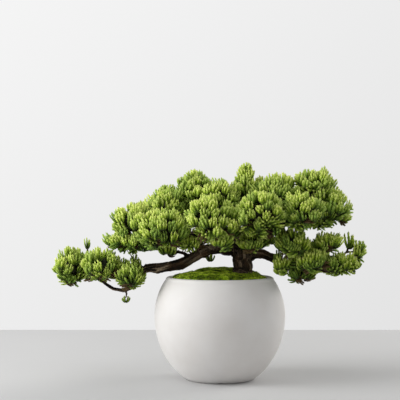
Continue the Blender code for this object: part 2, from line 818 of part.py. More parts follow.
def make_lumps(specs, collection, helpers, cutters, gap, colour, roughness):
    """Each lump gives way to the cutters and to the lumps before it."""
    made = []
    for index, (name, place, half, detail, lumps) in enumerate(specs):
        seed = index + 1.0
        reach = half * (1.0 + lumps)
        thing = lump(name, half, detail, lumps, seed, 0.0, collection, place)
        for cutter in cutters:
            boolean(thing, cutter.name, "DIFFERENCE", cutter)
        for space, other in made:
            if boxes_meet((place, reach), other, gap):
                boolean(thing, space.name, "DIFFERENCE", space)
        keep_main_body(thing)
        finish(thing, colour, roughness)
        space = lump(name + "_space", half, detail, lumps, seed, gap, helpers, place)
        as_cutter(space)
        made.append((space, (place, reach)))


def pad_specs():
    scale = Vector((PLAN, PLAN, RISE))
    return [
        (pad.name, tree_point(*pad.centre), Vector(pad.half) * MM * scale, pad.detail, pad.lumps)
        for pad in PADS
    ]


def cushion_specs():
    size = POT_RADIUS / DRAWN_POT_RADIUS
    scale = Vector((size, size, 1.0))
    rim = Vector((0.0, 0.0, POT_HEIGHT))
    return [
        (cushion.name, Vector(cushion.centre) * MM * scale + rim, Vector(cushion.half) * MM * scale, 3, 0.1)
        for cushion in CUSHIONS
    ]


def main():
    clear_scene()
    parts = new_collection("bonsai_in_pot")
    helpers = new_collection("cutters")
    make_pot(parts, helpers)
    make_screen(parts, helpers)
    make_gravel(parts)
    wood = make_wood("tree_wood", 0.0, parts, helpers)
    finish(wood, BARK_BROWN, 0.9)
    wood_space = make_wood("wood_space", GAP, helpers, helpers)
    as_cutter(wood_space)
    make_soil(parts, wood_space)
    soil_space, pot_space = keep_out(helpers)
    moss_cutters = (soil_space, pot_space, wood_space)
    make_lumps(cushion_specs(), parts, helpers, moss_cutters, PAD_GAP, MOSS_GREEN, 0.95)
    make_lumps(pad_specs(), parts, helpers, (wood_space,), PAD_GAP, FOLIAGE_GREEN, 0.8)
    helpers.hide_render = True


main()
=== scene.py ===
"""The looks of a small juniper trained as a bonsai, in a round matt white pot, in metres, +Z up.

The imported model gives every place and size. Each pad of foliage is grown from clusters of needled shoots,
the wood gets its bark, the moss its sprigs, and the pot a smooth turned wall.
"""

import logging
import math
import random
from dataclasses import dataclass, field
from enum import Enum
from typing import Callable, Iterable, Optional, Union

import bmesh
import bpy
from mathutils import Matrix, Vector, noise
from mathutils.bvhtree import BVHTree


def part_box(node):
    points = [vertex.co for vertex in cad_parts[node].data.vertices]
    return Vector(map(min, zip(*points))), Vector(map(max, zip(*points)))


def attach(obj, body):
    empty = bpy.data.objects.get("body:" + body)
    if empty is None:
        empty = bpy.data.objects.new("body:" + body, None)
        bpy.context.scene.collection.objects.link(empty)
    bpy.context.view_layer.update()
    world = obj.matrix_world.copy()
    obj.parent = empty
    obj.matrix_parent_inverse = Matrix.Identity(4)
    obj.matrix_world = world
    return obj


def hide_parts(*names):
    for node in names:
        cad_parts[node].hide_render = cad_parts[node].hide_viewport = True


logging.basicConfig(level=logging.INFO, format="%(message)s")
LOG = logging.getLogger("potted_juniper")

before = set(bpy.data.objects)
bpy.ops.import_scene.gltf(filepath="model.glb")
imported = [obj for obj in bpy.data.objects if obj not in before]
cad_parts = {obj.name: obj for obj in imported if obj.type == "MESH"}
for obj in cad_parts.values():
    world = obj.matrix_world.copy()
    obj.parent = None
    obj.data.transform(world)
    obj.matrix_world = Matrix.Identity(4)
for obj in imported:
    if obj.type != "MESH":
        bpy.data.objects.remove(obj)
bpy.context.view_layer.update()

MM = 0.001
UP = Vector((0.0, 0.0, 1.0))
WELD = 1e-5
GOLDEN_ANGLE = math.pi * (3.0 - math.sqrt(5.0))

BMesh = bmesh.types.BMesh
Material = bpy.types.Material
Mesh = bpy.types.Mesh
Thing = bpy.types.Object
Place = tuple[float, float, float]
Colour = tuple[float, float, float]
Stops = tuple[tuple[float, Colour], ...]
Value = Union["Sock", float, Colour]


class Slot(Enum):
    """The record's material slots."""

    CERAMIC = "pot_ceramic"
    SCREEN = "screen_plastic"
    GRAVEL = "gravel"
    SOIL = "soil"
    MOSS = "moss"
    BARK = "bark"
    FOLIAGE = "foliage"


@dataclass(frozen=True)
class Sock:
    """One value in a shader tree. Sums on it add the Math nodes that work them out."""

    graph: "Graph"
    socket: bpy.types.NodeSocket

    def maths(self, operation: str, first: Value, second: Value) -> "Sock":
        """Adds one Math node for an operation on two values, and returns its result."""
        return self.graph.node("ShaderNodeMath", {"operation": operation}, {0: first, 1: second})

    def __add__(self, other: Value) -> "Sock":
        """Returns self + other."""
        return self.maths("ADD", self, other)

    def __radd__(self, other: Value) -> "Sock":
        """Returns other + self."""
        return self.maths("ADD", other, self)

    def __sub__(self, other: Value) -> "Sock":
        """Returns self - other."""
        return self.maths("SUBTRACT", self, other)

    def __rsub__(self, other: Value) -> "Sock":
        """Returns other - self."""
        return self.maths("SUBTRACT", other, self)

    def __mul__(self, other: Value) -> "Sock":
        """Returns self * other."""
        return self.maths("MULTIPLY", self, other)

    def __rmul__(self, other: Value) -> "Sock":
        """Returns other * self."""
        return self.maths("MULTIPLY", other, self)


class Graph:
    """The shader tree of a material or of the world, built one node at a time."""

    def __init__(self, name: str, store: Optional[bpy.types.bpy_prop_collection] = None) -> None:
        """Makes a new material or world with an empty tree.

        Args:
            name: its name.
            store: where it is kept, which is with the materials unless another place is given.
        """
        self.owner = (bpy.data.materials if store is None else store).new(name)
        self.owner.use_nodes = True
        self.tree = self.owner.node_tree
        self.tree.nodes.clear()

    def node(
        self,
        kind: str,
        settings: Optional[dict] = None,
        inputs: Optional[dict] = None,
        output: Union[int, str] = 0,
    ) -> Sock:
        """Adds a node of any kind.

        Args:
            kind: the node's type.
            settings: its own settings, set first. "stops" gives a colour ramp its stops.
            inputs: the value or link of each of its sockets.
            output: the socket that is wanted.

        Returns:
            That socket.
        """
        made = self.tree.nodes.new(kind)
        for name, value in (settings or {}).items():
            if name == "stops":
                self.set_stops(made.color_ramp, value)
            else:
                setattr(made, name, value)
        for name, value in (inputs or {}).items():
            socket = made.inputs[name]
            if isinstance(value, Sock):
                self.tree.links.new(value.socket, socket)
            elif isinstance(value, tuple) and socket.type == "RGBA":
                socket.default_value = (*value, 1.0)
            else:
                socket.default_value = value
        return Sock(self, made.outputs[output])

    @staticmethod
    def set_stops(ramp: bpy.types.ColorRamp, stops: Stops) -> None:
        """Gives a colour ramp its stops.

        Args:
            ramp: the ramp.
            stops: places and colours, in order.
        """
        while len(ramp.elements) < len(stops):
            ramp.elements.new(0.5)
        for element, (place, colour) in zip(ramp.elements, stops):
            element.position = place
            element.color = (*colour, 1.0)

    def place(self) -> Sock:
        """Returns the point on the piece, in object coordinates."""
        return self.node("ShaderNodeTexCoord", output="Object")

    def attribute(self, name: str, output: str = "Fac") -> Sock:
        """Returns one of the piece's own attributes."""
        return self.node("ShaderNodeAttribute", {"attribute_name": name}, output=output)

    def grain(self, where: Value, size: float, detail: float = 2.0, drift: Optional[Sock] = None) -> Sock:
        """Adds a noise.

        Args:
            where: the point it is read at.
            size: the size of its patches, in metres.
            detail: how many finer layers it has.
            drift: a fourth coordinate, where one is wanted.

        Returns:
            The noise, from 0 to 1.
        """
        inputs = {"Vector": where, "Scale": 1.0 / size, "Detail": detail}
        if drift is None:
            return self.node("ShaderNodeTexNoise", {}, inputs, "Fac")
        inputs["W"] = drift
        return self.node("ShaderNodeTexNoise", {"noise_dimensions": "4D"}, inputs, "Fac")

    def ramp(self, factor: Value, stops: Stops) -> Sock:
        """Returns the colour of a ramp at a value."""
        return self.node("ShaderNodeValToRGB", {"stops": stops}, {"Fac": factor}, "Color")

    def mix(self, share: Value, first: Value, second: Value) -> Sock:
        """Returns a mix of two colours, with a share of the second."""
        settings = {"data_type": "RGBA", "clamp_factor": True}
        return self.node("ShaderNodeMix", settings, {0: share, 6: first, 7: second}, 2)

    def span(self, value: Value, low: float, high: float, to_low: float = 0.0, to_high: float = 1.0) -> Sock:
        """Moves a value from one range to another, and holds it inside.

        Args:
            value: the value.
            low: where its range starts.
            high: where it ends.
            to_low: where the new range starts.
            to_high: where it ends.

        Returns:
            The new value.
        """
        inputs = {"Value": value, "From Min": low, "From Max": high, "To Min": to_low, "To Max": to_high}
        return self.node("ShaderNodeMapRange", {"clamp": True}, inputs, "Result")

    def bump(self, height: Value, depth: float, strength: float = 1.0) -> Sock:
        """Returns the normal over a height whose full range is depth, in metres."""
        inputs = {"Strength": strength, "Distance": depth, "Height": height}
        return self.node("ShaderNodeBump", {}, inputs, "Normal")

    def dot(self, where: Value, way: Place) -> Sock:
        """Returns how far a point lies along a way, times the way's length."""
        return self.node("ShaderNodeVectorMath", {"operation": "DOT_PRODUCT"}, {0: where, 1: way}, "Value")

    def end(self, kind: str, shader: Sock) -> None:
        """Ends the tree in an output node.

        Args:
            kind: the output node's type.
            shader: what it shows.
        """
        output = self.tree.nodes.new(kind)
        self.tree.links.new(shader.socket, output.inputs["Surface"])

    def finish(self, **inputs: Value) -> Material:
        """Ends a material's tree in a Principled shader.

        Args:
            inputs: its sockets, with _ for each space in their names.

        Returns:
            The material.
        """
        named = {name.replace("_", " "): value for name, value in inputs.items()}
        self.end("ShaderNodeOutputMaterial", self.node("ShaderNodeBsdfPrincipled", {}, named))
        return self.owner


@dataclass(frozen=True)
class MattCeramic:
    """Unglazed-looking matt white stoneware."""

    body: Colour = (0.80, 0.785, 0.77)
    warm: Colour = (0.74, 0.715, 0.69)
    speck: Colour = (0.60, 0.57, 0.54)
    roughness: float = 0.62

    def make(self) -> Material:
        """Builds the finish.

        Returns:
            The material.
        """
        tree = Graph("matt_white_ceramic")
        where = tree.place()
        cloud = tree.grain(where, 0.045, 3.0)
        pits = tree.grain(where, 0.0006, 2.0)
        specks = tree.span(tree.grain(where, 0.0011, 1.0), 0.74, 0.80)
        glaze = tree.mix(tree.span(cloud, 0.3, 0.7), self.body, self.warm)
        colour = tree.mix(specks * 0.35, glaze, self.speck)
        return tree.finish(
            Base_Color=colour,
            Roughness=tree.span(pits, 0.2, 0.8, self.roughness - 0.08, self.roughness + 0.08),
            Normal=tree.bump(pits + cloud * 0.5, 0.00012, 0.6),
            Specular_IOR_Level=0.4,
        )


@dataclass(frozen=True)
class ScreenPlastic:
    """Black moulded netting."""

    body: Colour = (0.018, 0.020, 0.019)
    dusty: Colour = (0.06, 0.055, 0.045)

    def make(self) -> Material:
        """Builds the finish.

        Returns:
            The material.
        """
        tree = Graph("black_netting_plastic")
        where = tree.place()
        dust = tree.grain(where, 0.004, 4.0)
        grain = tree.grain(where, 0.0004, 2.0)
        return tree.finish(
            Base_Color=tree.mix(tree.span(dust, 0.45, 0.75), self.body, self.dusty),
            Roughness=tree.span(dust, 0.3, 0.7, 0.42, 0.68),
            Normal=tree.bump(grain, 0.00008, 0.5),
        )


@dataclass(frozen=True)
class Stones:
    """Crushed pumice and lava, as a drainage layer or as planting soil.

    Attributes:
        name: the material's name.
        size: how large a grain is, in metres.
        shades: the grains' colours.
        gap_shade: the painted shade between grains, which fine noise also mixes into them.
    """

    name: str
    size: float
    shades: Stops
    gap_shade: Colour

    def make(self) -> Material:
        """Builds the finish.

        Returns:
            The material.
        """
        tree = Graph(self.name)
        where = tree.place()
        wobble = tree.node(
            "ShaderNodeVectorMath",
            {"operation": "MULTIPLY_ADD"},
            {
                0: tree.node("ShaderNodeTexNoise", {}, {"Vector": where, "Scale": 0.7 / self.size}, "Color"),
                1: (self.size * 0.5,) * 3,
                2: where,
            },
        )
        cells = {"Vector": wobble, "Scale": 1.0 / self.size}
        stone = tree.node("ShaderNodeTexVoronoi", {}, cells, "Color")
        distance = tree.node("ShaderNodeTexVoronoi", {"feature": "DISTANCE_TO_EDGE"}, cells, "Distance")
        shade = tree.node("ShaderNodeSeparateColor", {}, {"Color": stone}, "Red")
        fine = tree.grain(where, self.size * 0.15, 4.0)
        colour = tree.mix(fine * 0.6, tree.ramp(shade, self.shades), self.gap_shade)
        # painted shade: each grain darkens to the colour between grains at its cell edge
        edge = tree.span(distance, 0.0, 0.14)
        return tree.finish(
            Base_Color=tree.mix(edge, self.gap_shade, colour),
            Roughness=tree.span(fine, 0.2, 0.8, 0.8, 0.97),
            Normal=tree.bump(edge + fine * 0.3, self.size * 0.3),
        )


@dataclass(frozen=True)
class GrainSoil:
    """Loose grains of soil, each of its own shade."""

    shades: Stops
    crevice: Colour = (0.02, 0.014, 0.009)

    def make(self) -> Material:
        """Builds the finish.

        Returns:
            The material.
        """
        tree = Graph("soil_grains")
        where = tree.place()
        fine = tree.grain(where, 0.0005, 4.0)
        shade = tree.ramp(tree.attribute("tint"), self.shades)
        return tree.finish(
            Base_Color=tree.mix(fine * 0.5, shade, self.crevice),
            Roughness=tree.span(fine, 0.2, 0.8, 0.82, 0.97),
            Normal=tree.bump(fine, 0.00025),
        )


@dataclass(frozen=True)
class MossGreen:
    """Cushion moss: dark with painted shade between its sprigs and between its mounds, and bright at the
    sprigs' ends.
    """

    # the first colour is near-black painted shade, between sprigs and in the dips between mounds
    dip_shade: Colour = (0.022, 0.045, 0.001)
    leaf: Colour = (0.27, 0.45, 0.006)
    tip: Colour = (0.80, 0.94, 0.10)
    dry: Colour = (0.42, 0.42, 0.05)

    def make(self) -> Material:
        """Builds the finish.

        Returns:
            The material.
        """
        tree = Graph("cushion_moss")
        where = tree.place()
        patch = tree.grain(where, 0.011, 3.0)
        fleck = tree.grain(where, 0.0009, 2.0)
        ridge = tree.grain(where, 0.0065, 3.0)
        along = tree.attribute("along") + (fleck - 0.5) * 0.6 + (ridge - 0.5) * 2.2
        green = tree.ramp(along, ((0.0, self.dip_shade), (0.5, self.leaf), (1.0, self.tip)))
        dry = tree.span(patch + tree.attribute("tint") * 0.25, 0.66, 0.86, 0.0, 0.55)
        return tree.finish(
            Base_Color=tree.mix(dry, green, self.dry),
            Roughness=tree.span(fleck, 0.2, 0.8, 0.62, 0.85),
            Normal=tree.bump(fleck, 0.0002),
            Specular_IOR_Level=0.15,
        )


@dataclass(frozen=True)
class FibrousBark:
    """Brown bark that lifts in narrow strips along each limb.

    Attributes:
        name: the material's name.
        crack: the colour between strips, near black: partly the bark's own dark cracks and partly painted
            shade in them.
        strip: the usual colour of a strip.
        weathered: a strip that the sun has greyed.
        rust: the colour that shows under a lifted strip.
        width: how wide a strip is, in metres.
    """

    name: str
    crack: Colour
    strip: Colour
    weathered: Colour
    rust: Colour
    width: float = 0.0016

    def make(self) -> Material:
        """Builds the finish.

        Returns:
            The material.
        """
        tree = Graph(self.name)
        where = tree.place()
        across = tree.attribute("across", "Vector")
        reach = tree.attribute("reach")
        fibre = tree.grain(across, self.width, 3.0, reach * 60.0)
        thread = tree.grain(across, self.width * 0.32, 2.0, reach * 170.0)
        patch = tree.grain(where, 0.013, 3.0)
        speck = tree.grain(where, 0.0007, 2.0)
        height = fibre * 0.7 + thread * 0.3
        strips = tree.ramp(
            # the rise term darkens the bark where it sits low, as painted shade in its cracks, and lightens
            # its raised strips
            height + (speck - 0.5) * 0.3 + (tree.attribute("rise") - 0.1) * 0.5,
            ((0.37, self.crack), (0.48, self.strip), (0.56, self.strip), (0.72, self.weathered)),
        )
        warm = tree.span(patch, 0.48, 0.68, 0.0, 0.55)
        return tree.finish(
            Base_Color=tree.mix(warm, strips, tree.mix(0.6, strips, self.rust)),
            Roughness=tree.span(height, 0.3, 0.7, 0.95, 0.72),
            Normal=tree.bump(height + speck * 0.12, 0.0014),
            Specular_IOR_Level=0.2,
        )


@dataclass(frozen=True)
class JuniperGreen:
    """Shoots that go from browning bases, darkened to near black with painted shade, to yellow-green growing
    ends.
    """

    # the first colour is near-black painted shade, at the shoots' bases and over each pad's heart
    inner: Colour = (0.016, 0.019, 0.004)
    old: Colour = (0.055, 0.110, 0.014)
    old_side: Colour = (0.165, 0.285, 0.028)
    old_tip: Colour = (0.38, 0.57, 0.10)
    fresh: Colour = (0.090, 0.155, 0.010)
    fresh_side: Colour = (0.37, 0.53, 0.028)
    fresh_tip: Colour = (0.89, 0.97, 0.26)
    dry: Colour = (0.085, 0.045, 0.018)
    dry_tip: Colour = (0.15, 0.11, 0.035)

    def make(self) -> Material:
        """Builds the finish.

        Returns:
            The material.
        """
        tree = Graph("juniper_foliage")
        where = tree.place()
        patch = tree.grain(where, 0.030, 2.0)
        fleck = tree.grain(where, 0.0016, 2.0)
        along = tree.attribute("along") + (fleck - 0.5) * 0.5
        old = ((0.12, self.inner), (0.40, self.old), (0.72, self.old_side), (1.0, self.old_tip))
        fresh = ((0.12, self.inner), (0.38, self.fresh), (0.66, self.fresh_side), (0.98, self.fresh_tip))
        tint = tree.attribute("tint")
        vigour = tree.span(tint + (patch - 0.5) * 0.9, 0.1, 0.9)
        green = tree.mix(vigour, tree.ramp(along, old), tree.ramp(along, fresh))
        brown = tree.ramp(along, ((0.1, self.inner), (0.4, self.dry), (1.0, self.dry_tip)))
        return tree.finish(
            Base_Color=tree.mix(tree.span(tint, -1.0, -0.5, 1.0, 0.0), green, brown),
            Roughness=tree.span(fleck, 0.2, 0.8, 0.5, 0.7),
            Normal=tree.bump(fleck, 0.0002, 0.5),
            Specular_IOR_Level=0.22,
        )


@dataclass(frozen=True)
class StageGrey:
    """The plain table under the pot, with painted shade that darkens it towards the right and a little
    towards the front.
    """

    shade: Colour = (0.65, 0.65, 0.65)
    cloud_share: float = 0.95
    right_shade_share: float = 0.82
    right_shade_way: Place = (1.0, -0.15, 0.0)
    right_shade_reach: float = 0.3

    def make(self) -> Material:
        """Builds the finish.

        Returns:
            The material.
        """
        tree = Graph("table_grey")
        where = tree.place()
        fine = tree.grain(where, 0.0015, 2.0)
        cloud = tree.grain(where, 0.3, 2.0)
        darker = tuple(self.cloud_share * level for level in self.shade)
        right_shaded = tuple(self.right_shade_share * level for level in self.shade)
        # painted shade: the table goes darker towards the right and a little towards the front
        aside = tree.span(tree.dot(where, self.right_shade_way), -self.right_shade_reach, self.right_shade_reach)
        return tree.finish(
            Base_Color=tree.mix(aside, tree.mix(cloud, self.shade, darker), right_shaded),
            Roughness=tree.span(fine, 0.2, 0.8, 0.65, 0.75),
            Normal=tree.bump(fine, 0.00005, 0.3),
        )


def in_scene(name: str, data: Optional[bpy.types.ID]) -> Thing:
    """Makes an object at the origin of the scene.

    Args:
        name: its name.
        data: its mesh, light or camera.

    Returns:
        The object.
    """
    thing = bpy.data.objects.new(name, data)
    bpy.context.scene.collection.objects.link(thing)
    return thing


def link(name: str, bm: BMesh, material: Material, smooth: bool = True) -> Thing:
    """Turns a bmesh into an object at the origin.

    Args:
        name: the object's name.
        bm: its shape, which is freed.
        material: its finish.
        smooth: whether its faces are shaded smooth.

    Returns:
        The object.
    """
    mesh = bpy.data.meshes.new(name)
    for face in bm.faces:
        face.smooth = smooth
    bm.to_mesh(mesh)
    bm.free()
    mesh.materials.append(material)
    return in_scene(name, mesh)


def add_piece(thing: Thing, slot: Slot, stands_for: Iterable[str] = ()) -> None:
    """Makes a finished object one of the tree's pieces, and reports it.

    Args:
        thing: the object, in place.
        slot: the record's slot that its finish belongs to, which is only reported.
        stands_for: the CAD nodes that it replaces.
    """
    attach(thing, "root")
    names = list(stands_for)
    if names:
        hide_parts(*names)
    LOG.info("%s: %d faces, slot %s", thing.name, len(thing.data.polygons), slot.value)


def dress_node(node: str, material: Material) -> None:
    """Gives a CAD node that stays its material, and reports it.

    Args:
        node: the node's name.
        material: its finish.
    """
    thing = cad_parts[node]
    if not thing.data.materials:
        thing.data.materials.append(material)
    for index in range(len(thing.material_slots)):
        thing.material_slots[index].material = material
    LOG.info("%s: kept, %s", node, material.name)


def evaluated(thing: Thing) -> BMesh:
    """Takes an object out of the scene and keeps its shape.

    Args:
        thing: the object.

    Returns:
        Its shape, with its modifiers applied.
    """
    graph = bpy.context.evaluated_depsgraph_get()
    mesh = bpy.data.meshes.new_from_object(thing.evaluated_get(graph))
    bm = bmesh.new()
    bm.from_mesh(mesh)
    bpy.data.meshes.remove(mesh)
    bpy.data.objects.remove(thing)
    return bm


@dataclass(frozen=True)
class Seat:
    """A place on a surface: the point and the way it faces."""

    point: Vector
    facing: Vector


class Surface:
    """A closed copy of a CAD node, to measure from and to scatter things over."""

    def __init__(self, node: str) -> None:
        """Copies and welds the node's mesh.

        Args:
            node: the node's name.
        """
        self.node = node
        self.low, self.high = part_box(node)
        self.centre = (self.low + self.high) / 2.0
        self.bm = bmesh.new()
        self.bm.from_mesh(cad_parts[node].data)
        bmesh.ops.remove_doubles(self.bm, verts=self.bm.verts, dist=WELD)
        self.tree = BVHTree.FromBMesh(self.bm)

    def holds(self, point: Vector) -> bool:
        """Says whether a point is inside the node.

        Args:
            point: the point.

        Returns:
            Whether it is.
        """
        if any(not low <= value <= high for low, value, high in zip(self.low, point, self.high)):
            return False
        nearest, facing, _, _ = self.tree.find_nearest(point)
        return (point - nearest).dot(facing) < 0.0

    def scatter(self, spacing: float, draw: random.Random, wanted: Callable[[Seat], bool]) -> list[Seat]:
        """Spreads places over the surface, no two nearer than the spacing.

        Args:
            spacing: the least distance between two places.
            draw: where its chances come from.
            wanted: says whether a place is any use.

        Returns:
            The places.
        """
        faces = list(self.bm.faces)
        areas = [face.calc_area() for face in faces]
        tries = int(14.0 * sum(areas) / spacing**2)
        taken: dict[tuple[int, int, int], list[Vector]] = {}
        found = []
        for face in draw.choices(faces, areas, k=tries):
            point = self.point_on(face, draw)
            seat = Seat(point, face.normal.copy())
            cell = tuple(int(math.floor(value / spacing)) for value in point)
            if self.crowded(point, cell, taken, spacing) or not wanted(seat):
                continue
            taken.setdefault(cell, []).append(point)
            found.append(seat)
        return found

    @staticmethod
    def point_on(face: bmesh.types.BMFace, draw: random.Random) -> Vector:
        """Picks a chance point on a triangle, or on the first triangle of a larger face.

        Args:
            face: the face.
            draw: where its chances come from.

        Returns:
            The point.
        """
        first, second, third = (vert.co for vert in face.verts[:3])
        along, across = draw.random(), draw.random()
        if along + across > 1.0:
            along, across = 1.0 - along, 1.0 - across
        return first + (second - first) * along + (third - first) * across

    @staticmethod
    def crowded(point: Vector, cell: tuple, taken: dict, spacing: float) -> bool:
        """Says whether a place that is already taken is too near.

        Args:
            point: the new place.
            cell: the cell of the grid that it is in.
            taken: the places already taken, by cell.
            spacing: the least distance.

        Returns:
            Whether one is too near.
        """
        for x in (-1, 0, 1):
            for y in (-1, 0, 1):
                for z in (-1, 0, 1):
                    for other in taken.get((cell[0] + x, cell[1] + y, cell[2] + z), ()):
                        if (other - point).length < spacing:
                            return True
        return False


def turned_to(facing: Vector, spin: float) -> Matrix:
    """Returns the turn that points +Z along facing, after a spin about it."""
    return facing.to_track_quat("Z", "Y").to_matrix().to_4x4() @ Matrix.Rotation(spin, 4, "Z")


def as_mesh(name: str, bm: BMesh) -> Mesh:
    """Copies a bmesh into a new mesh.

    Args:
        name: the mesh's name.
        bm: the shape.

    Returns:
        The mesh.
    """
    mesh = bpy.data.meshes.new(name)
    bm.to_mesh(mesh)
    return mesh


def as_template(name: str, bm: BMesh) -> Mesh:
    """Makes a mesh to copy from.

    Args:
        name: the mesh's name.
        bm: the shape, which is freed.

    Returns:
        The mesh.
    """
    mesh = as_mesh(name, bm)
    bm.free()
    return mesh


def add_copy(bm: BMesh, template: Mesh, place: Matrix, tint: float) -> list[bmesh.types.BMVert]:
    """Adds a copy of a template to a bmesh.

    Args:
        bm: the bmesh.
        template: the mesh that is copied, with its along and tint attributes.
        place: where the copy goes.
        tint: what is added to the copy's tint.

    Returns:
        The copy's vertices.
    """
    before = len(bm.verts)
    bm.from_mesh(template)
    bm.verts.ensure_lookup_table()
    fresh = bm.verts[before:]
    bmesh.ops.transform(bm, matrix=place, verts=fresh)
    layer = bm.verts.layers.float["tint"]
    for vert in fresh:
        vert[layer] += tint
    return fresh


def add_shape(bm: BMesh, shape: BMesh) -> None:
    """Adds one bmesh's shape to another.

    Args:
        bm: the bmesh that grows.
        shape: what is added, which stays as it is.
    """
    mesh = as_mesh("shape", shape)
    bm.from_mesh(mesh)
    bpy.data.meshes.remove(mesh)


def add_spike(
    bm: BMesh,
    sides: int,
    radii: tuple[float, float],
    height: float,
    place: Matrix = Matrix.Identity(4),
) -> None:
    """Adds a spike, which stands on its own origin and has both ends closed.

    Args:
        bm: the bmesh it is added to.
        sides: how many sides it has.
        radii: its radius at its foot and at its tip.
        height: how tall it is.
        place: where it goes.
    """
    bmesh.ops.create_cone(
        bm,
        cap_ends=True,
        segments=sides,
        radius1=radii[0],
        radius2=radii[1],
        depth=height,
        matrix=place @ Matrix.Translation((0.0, 0.0, height / 2.0)),
    )


def ring_stem(bm: BMesh, height: float, rings: int) -> None:
    """Cuts the long edges of a spike at rings.

    Args:
        bm: a bmesh that holds one upright spike.
        height: how tall the spike is.
        rings: how many rings are cut.
    """
    stem = [edge for edge in bm.edges if abs(edge.verts[0].co.z - edge.verts[1].co.z) > 0.5 * height]
    bmesh.ops.subdivide_edges(bm, edges=stem, cuts=rings)


def empty_growth() -> BMesh:
    """Starts something that grows, with the along and tint layers that its finish reads.

    Returns:
        An empty bmesh.
    """
    bm = bmesh.new()
    bm.verts.layers.float.new("along")
    bm.verts.layers.float.new("tint")
    return bm


def empty_bark() -> BMesh:
    """Starts something with bark, with the across and reach layers that its finish reads.

    Returns:
        An empty bmesh.
    """
    bm = bmesh.new()
    bm.verts.layers.float_vector.new("across")
    bm.verts.layers.float.new("reach")
    return bm


def even_steps(start: float, end: float, count: int) -> list[float]:
    """Returns evenly spaced values from start to end, with both of them."""
    return [start + (end - start) * step / (count - 1) for step in range(count)]


def chance_way(draw: random.Random, sideways: float, upright: float) -> Vector:
    """Returns a chance vector with a usual size sideways and another up and down."""
    return Vector((draw.gauss(0, sideways), draw.gauss(0, sideways), draw.gauss(0, upright)))


